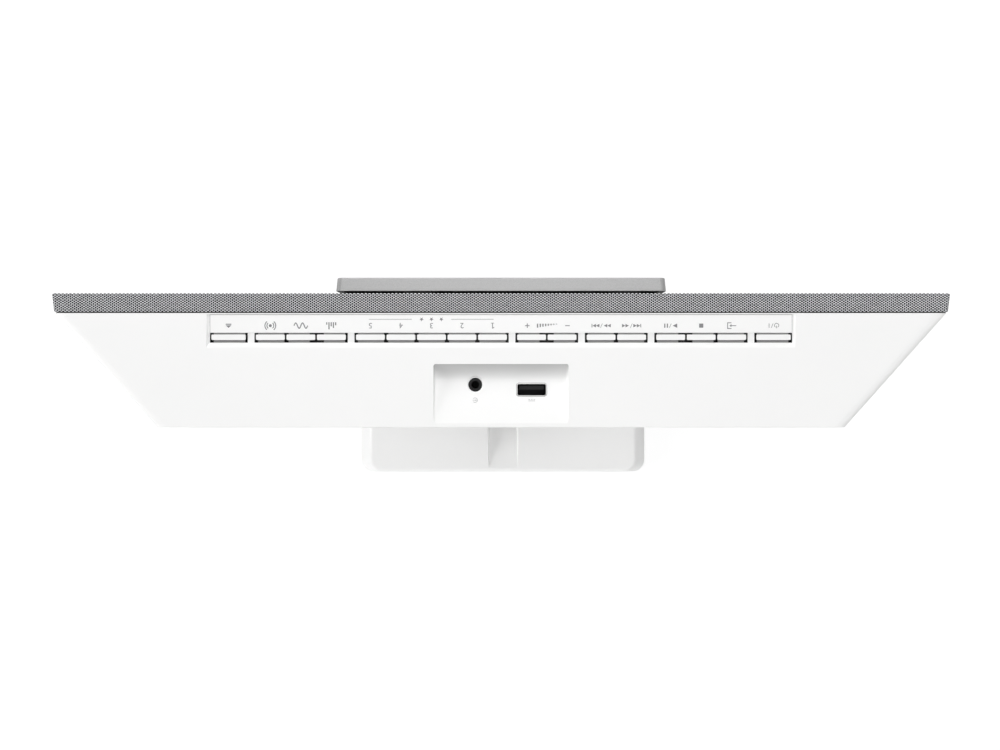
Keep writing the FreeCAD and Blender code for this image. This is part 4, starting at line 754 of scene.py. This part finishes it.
module_low, module_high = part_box("display_module")


def on_display(u, v, height):
    middle = (module_low[2] + module_high[2]) / 2
    return Vector((u * MM, module_low[1] - 0.05 * MM - height * MM, middle + v * MM))


clock = []
clock_left = -9.9
figure_step = 4.6
for index, character in enumerate("12 00"):
    left = clock_left + index * figure_step
    if character == " ":
        clock += dot(left + 1.2, -0.9, 0.35) + dot(left + 1.4, 1.1, 0.35)
    else:
        clock += moved(numeral(character), left, -figure_height / 2)
printed("display_digits", clock, on_display, 0.03, display_glow, "cabinet")


# Floor, light and camera

def seen_as_white(tree):
    """One where the camera, a reflection or a clear surface looks, zero where light is thrown."""
    path = tree.nodes.new("ShaderNodeLightPath")
    total = path.outputs["Is Camera Ray"]
    for name in ("Is Glossy Ray", "Is Transmission Ray"):
        most = tree.nodes.new("ShaderNodeMath")
        most.operation = "MAXIMUM"
        tree.links.new(total, most.inputs[0])
        tree.links.new(path.outputs[name], most.inputs[1])
        total = most.outputs[0]
    return total


def floor():
    """A pale floor that looks white apart from the object's shadow."""
    drop = 0.2 * MM
    bpy.ops.mesh.primitive_plane_add(size=3.0, location=(0, 0, -drop))
    plane = bpy.context.object
    plane.name = "floor"
    material = bpy.data.materials.new("floor")
    material.use_nodes = True
    tree = material.node_tree
    tree.nodes.clear()
    output = tree.nodes.new("ShaderNodeOutputMaterial")
    plain = tree.nodes.new("ShaderNodeBsdfDiffuse")
    plain.inputs["Color"].default_value = (0.86, 0.86, 0.86, 1.0)
    pale = tree.nodes.new("ShaderNodeBsdfDiffuse")
    pale.inputs["Color"].default_value = (0.3, 0.3, 0.3, 1.0)
    glow = tree.nodes.new("ShaderNodeEmission")
    glow.inputs["Strength"].default_value = 0.8
    both = tree.nodes.new("ShaderNodeAddShader")
    mix = tree.nodes.new("ShaderNodeMixShader")
    tree.links.new(pale.outputs[0], both.inputs[0])
    tree.links.new(glow.outputs[0], both.inputs[1])
    tree.links.new(seen_as_white(tree), mix.inputs[0])
    tree.links.new(plain.outputs[0], mix.inputs[1])
    tree.links.new(both.outputs[0], mix.inputs[2])
    tree.links.new(mix.outputs[0], output.inputs["Surface"])
    plane.data.materials.append(material)


def sky(strength):
    """Even light from all around, white where it is seen."""
    world = bpy.data.worlds.new("studio")
    scene.world = world
    world.use_nodes = True
    tree = world.node_tree
    tree.nodes.clear()
    output = tree.nodes.new("ShaderNodeOutputWorld")
    soft = tree.nodes.new("ShaderNodeBackground")
    soft.inputs["Strength"].default_value = strength
    pale = tree.nodes.new("ShaderNodeBackground")
    mix = tree.nodes.new("ShaderNodeMixShader")
    for background in (soft, pale):
        background.inputs["Color"].default_value = (1.0, 1.0, 1.0, 1.0)
    tree.links.new(seen_as_white(tree), mix.inputs[0])
    tree.links.new(soft.outputs[0], mix.inputs[1])
    tree.links.new(pale.outputs[0], mix.inputs[2])
    tree.links.new(mix.outputs[0], output.inputs["Surface"])


def softbox(name, place, size, power):
    """A square lamp that looks at the object."""
    target = (0.0, 0.0, 0.1)
    light = bpy.data.lights.new(name, "AREA")
    light.shape = "SQUARE"
    light.size = size
    light.energy = power
    lamp = bpy.data.objects.new(name, light)
    lamp.location = place
    lamp.rotation_euler = (Vector(target) - Vector(place)).to_track_quat("-Z", "Y").to_euler()
    scene.collection.objects.link(lamp)


def camera():
    """Straight down from above, with the front at the top of the picture.

    The eye stands a little aside of the middle of the picture, and the shift puts it back.
    """
    aside, back = -3.3, 1.4
    middle_x, middle_y = 0.45, -9.35
    height = 650.0
    picture_width = 1000
    pixels_per_mm = 2.2475
    data = bpy.data.cameras.new("camera")
    data.sensor_fit = "HORIZONTAL"
    data.sensor_width = 36.0
    data.lens = 35.4
    data.clip_start = 0.01
    data.shift_x = aside * pixels_per_mm / picture_width
    data.shift_y = back * pixels_per_mm / picture_width
    eye = bpy.data.objects.new("camera", data)
    eye.location = ((middle_x + aside) * MM, (middle_y + back) * MM, height * MM)
    eye.rotation_euler = (0.0, 0.0, math.pi)
    scene.collection.objects.link(eye)
    scene.camera = eye


floor()
sky(0.1)
for lamp_name, lamp_place, lamp_size, lamp_power in (
    ("side_box", (2.4, 0.3, 1.0), 1.2, 36.0),
    ("fill_box", (-1.9, 0.3, 2.0), 1.2, 15.0),
    ("top_box", (0.0, 0.0, 2.8), 1.6, 15.0),
    ("key_box", (0.0, -1.4, 2.3), 1.2, 19.5),
    ("front_box", (0.3, -2.4, 1.1), 1.0, 24.0),
    ("back_box", (0.0, 2.4, 0.32), 0.55, 18.0),
):
    softbox(lamp_name, lamp_place, lamp_size, lamp_power)
camera()
scene.view_settings.view_transform = "Standard"
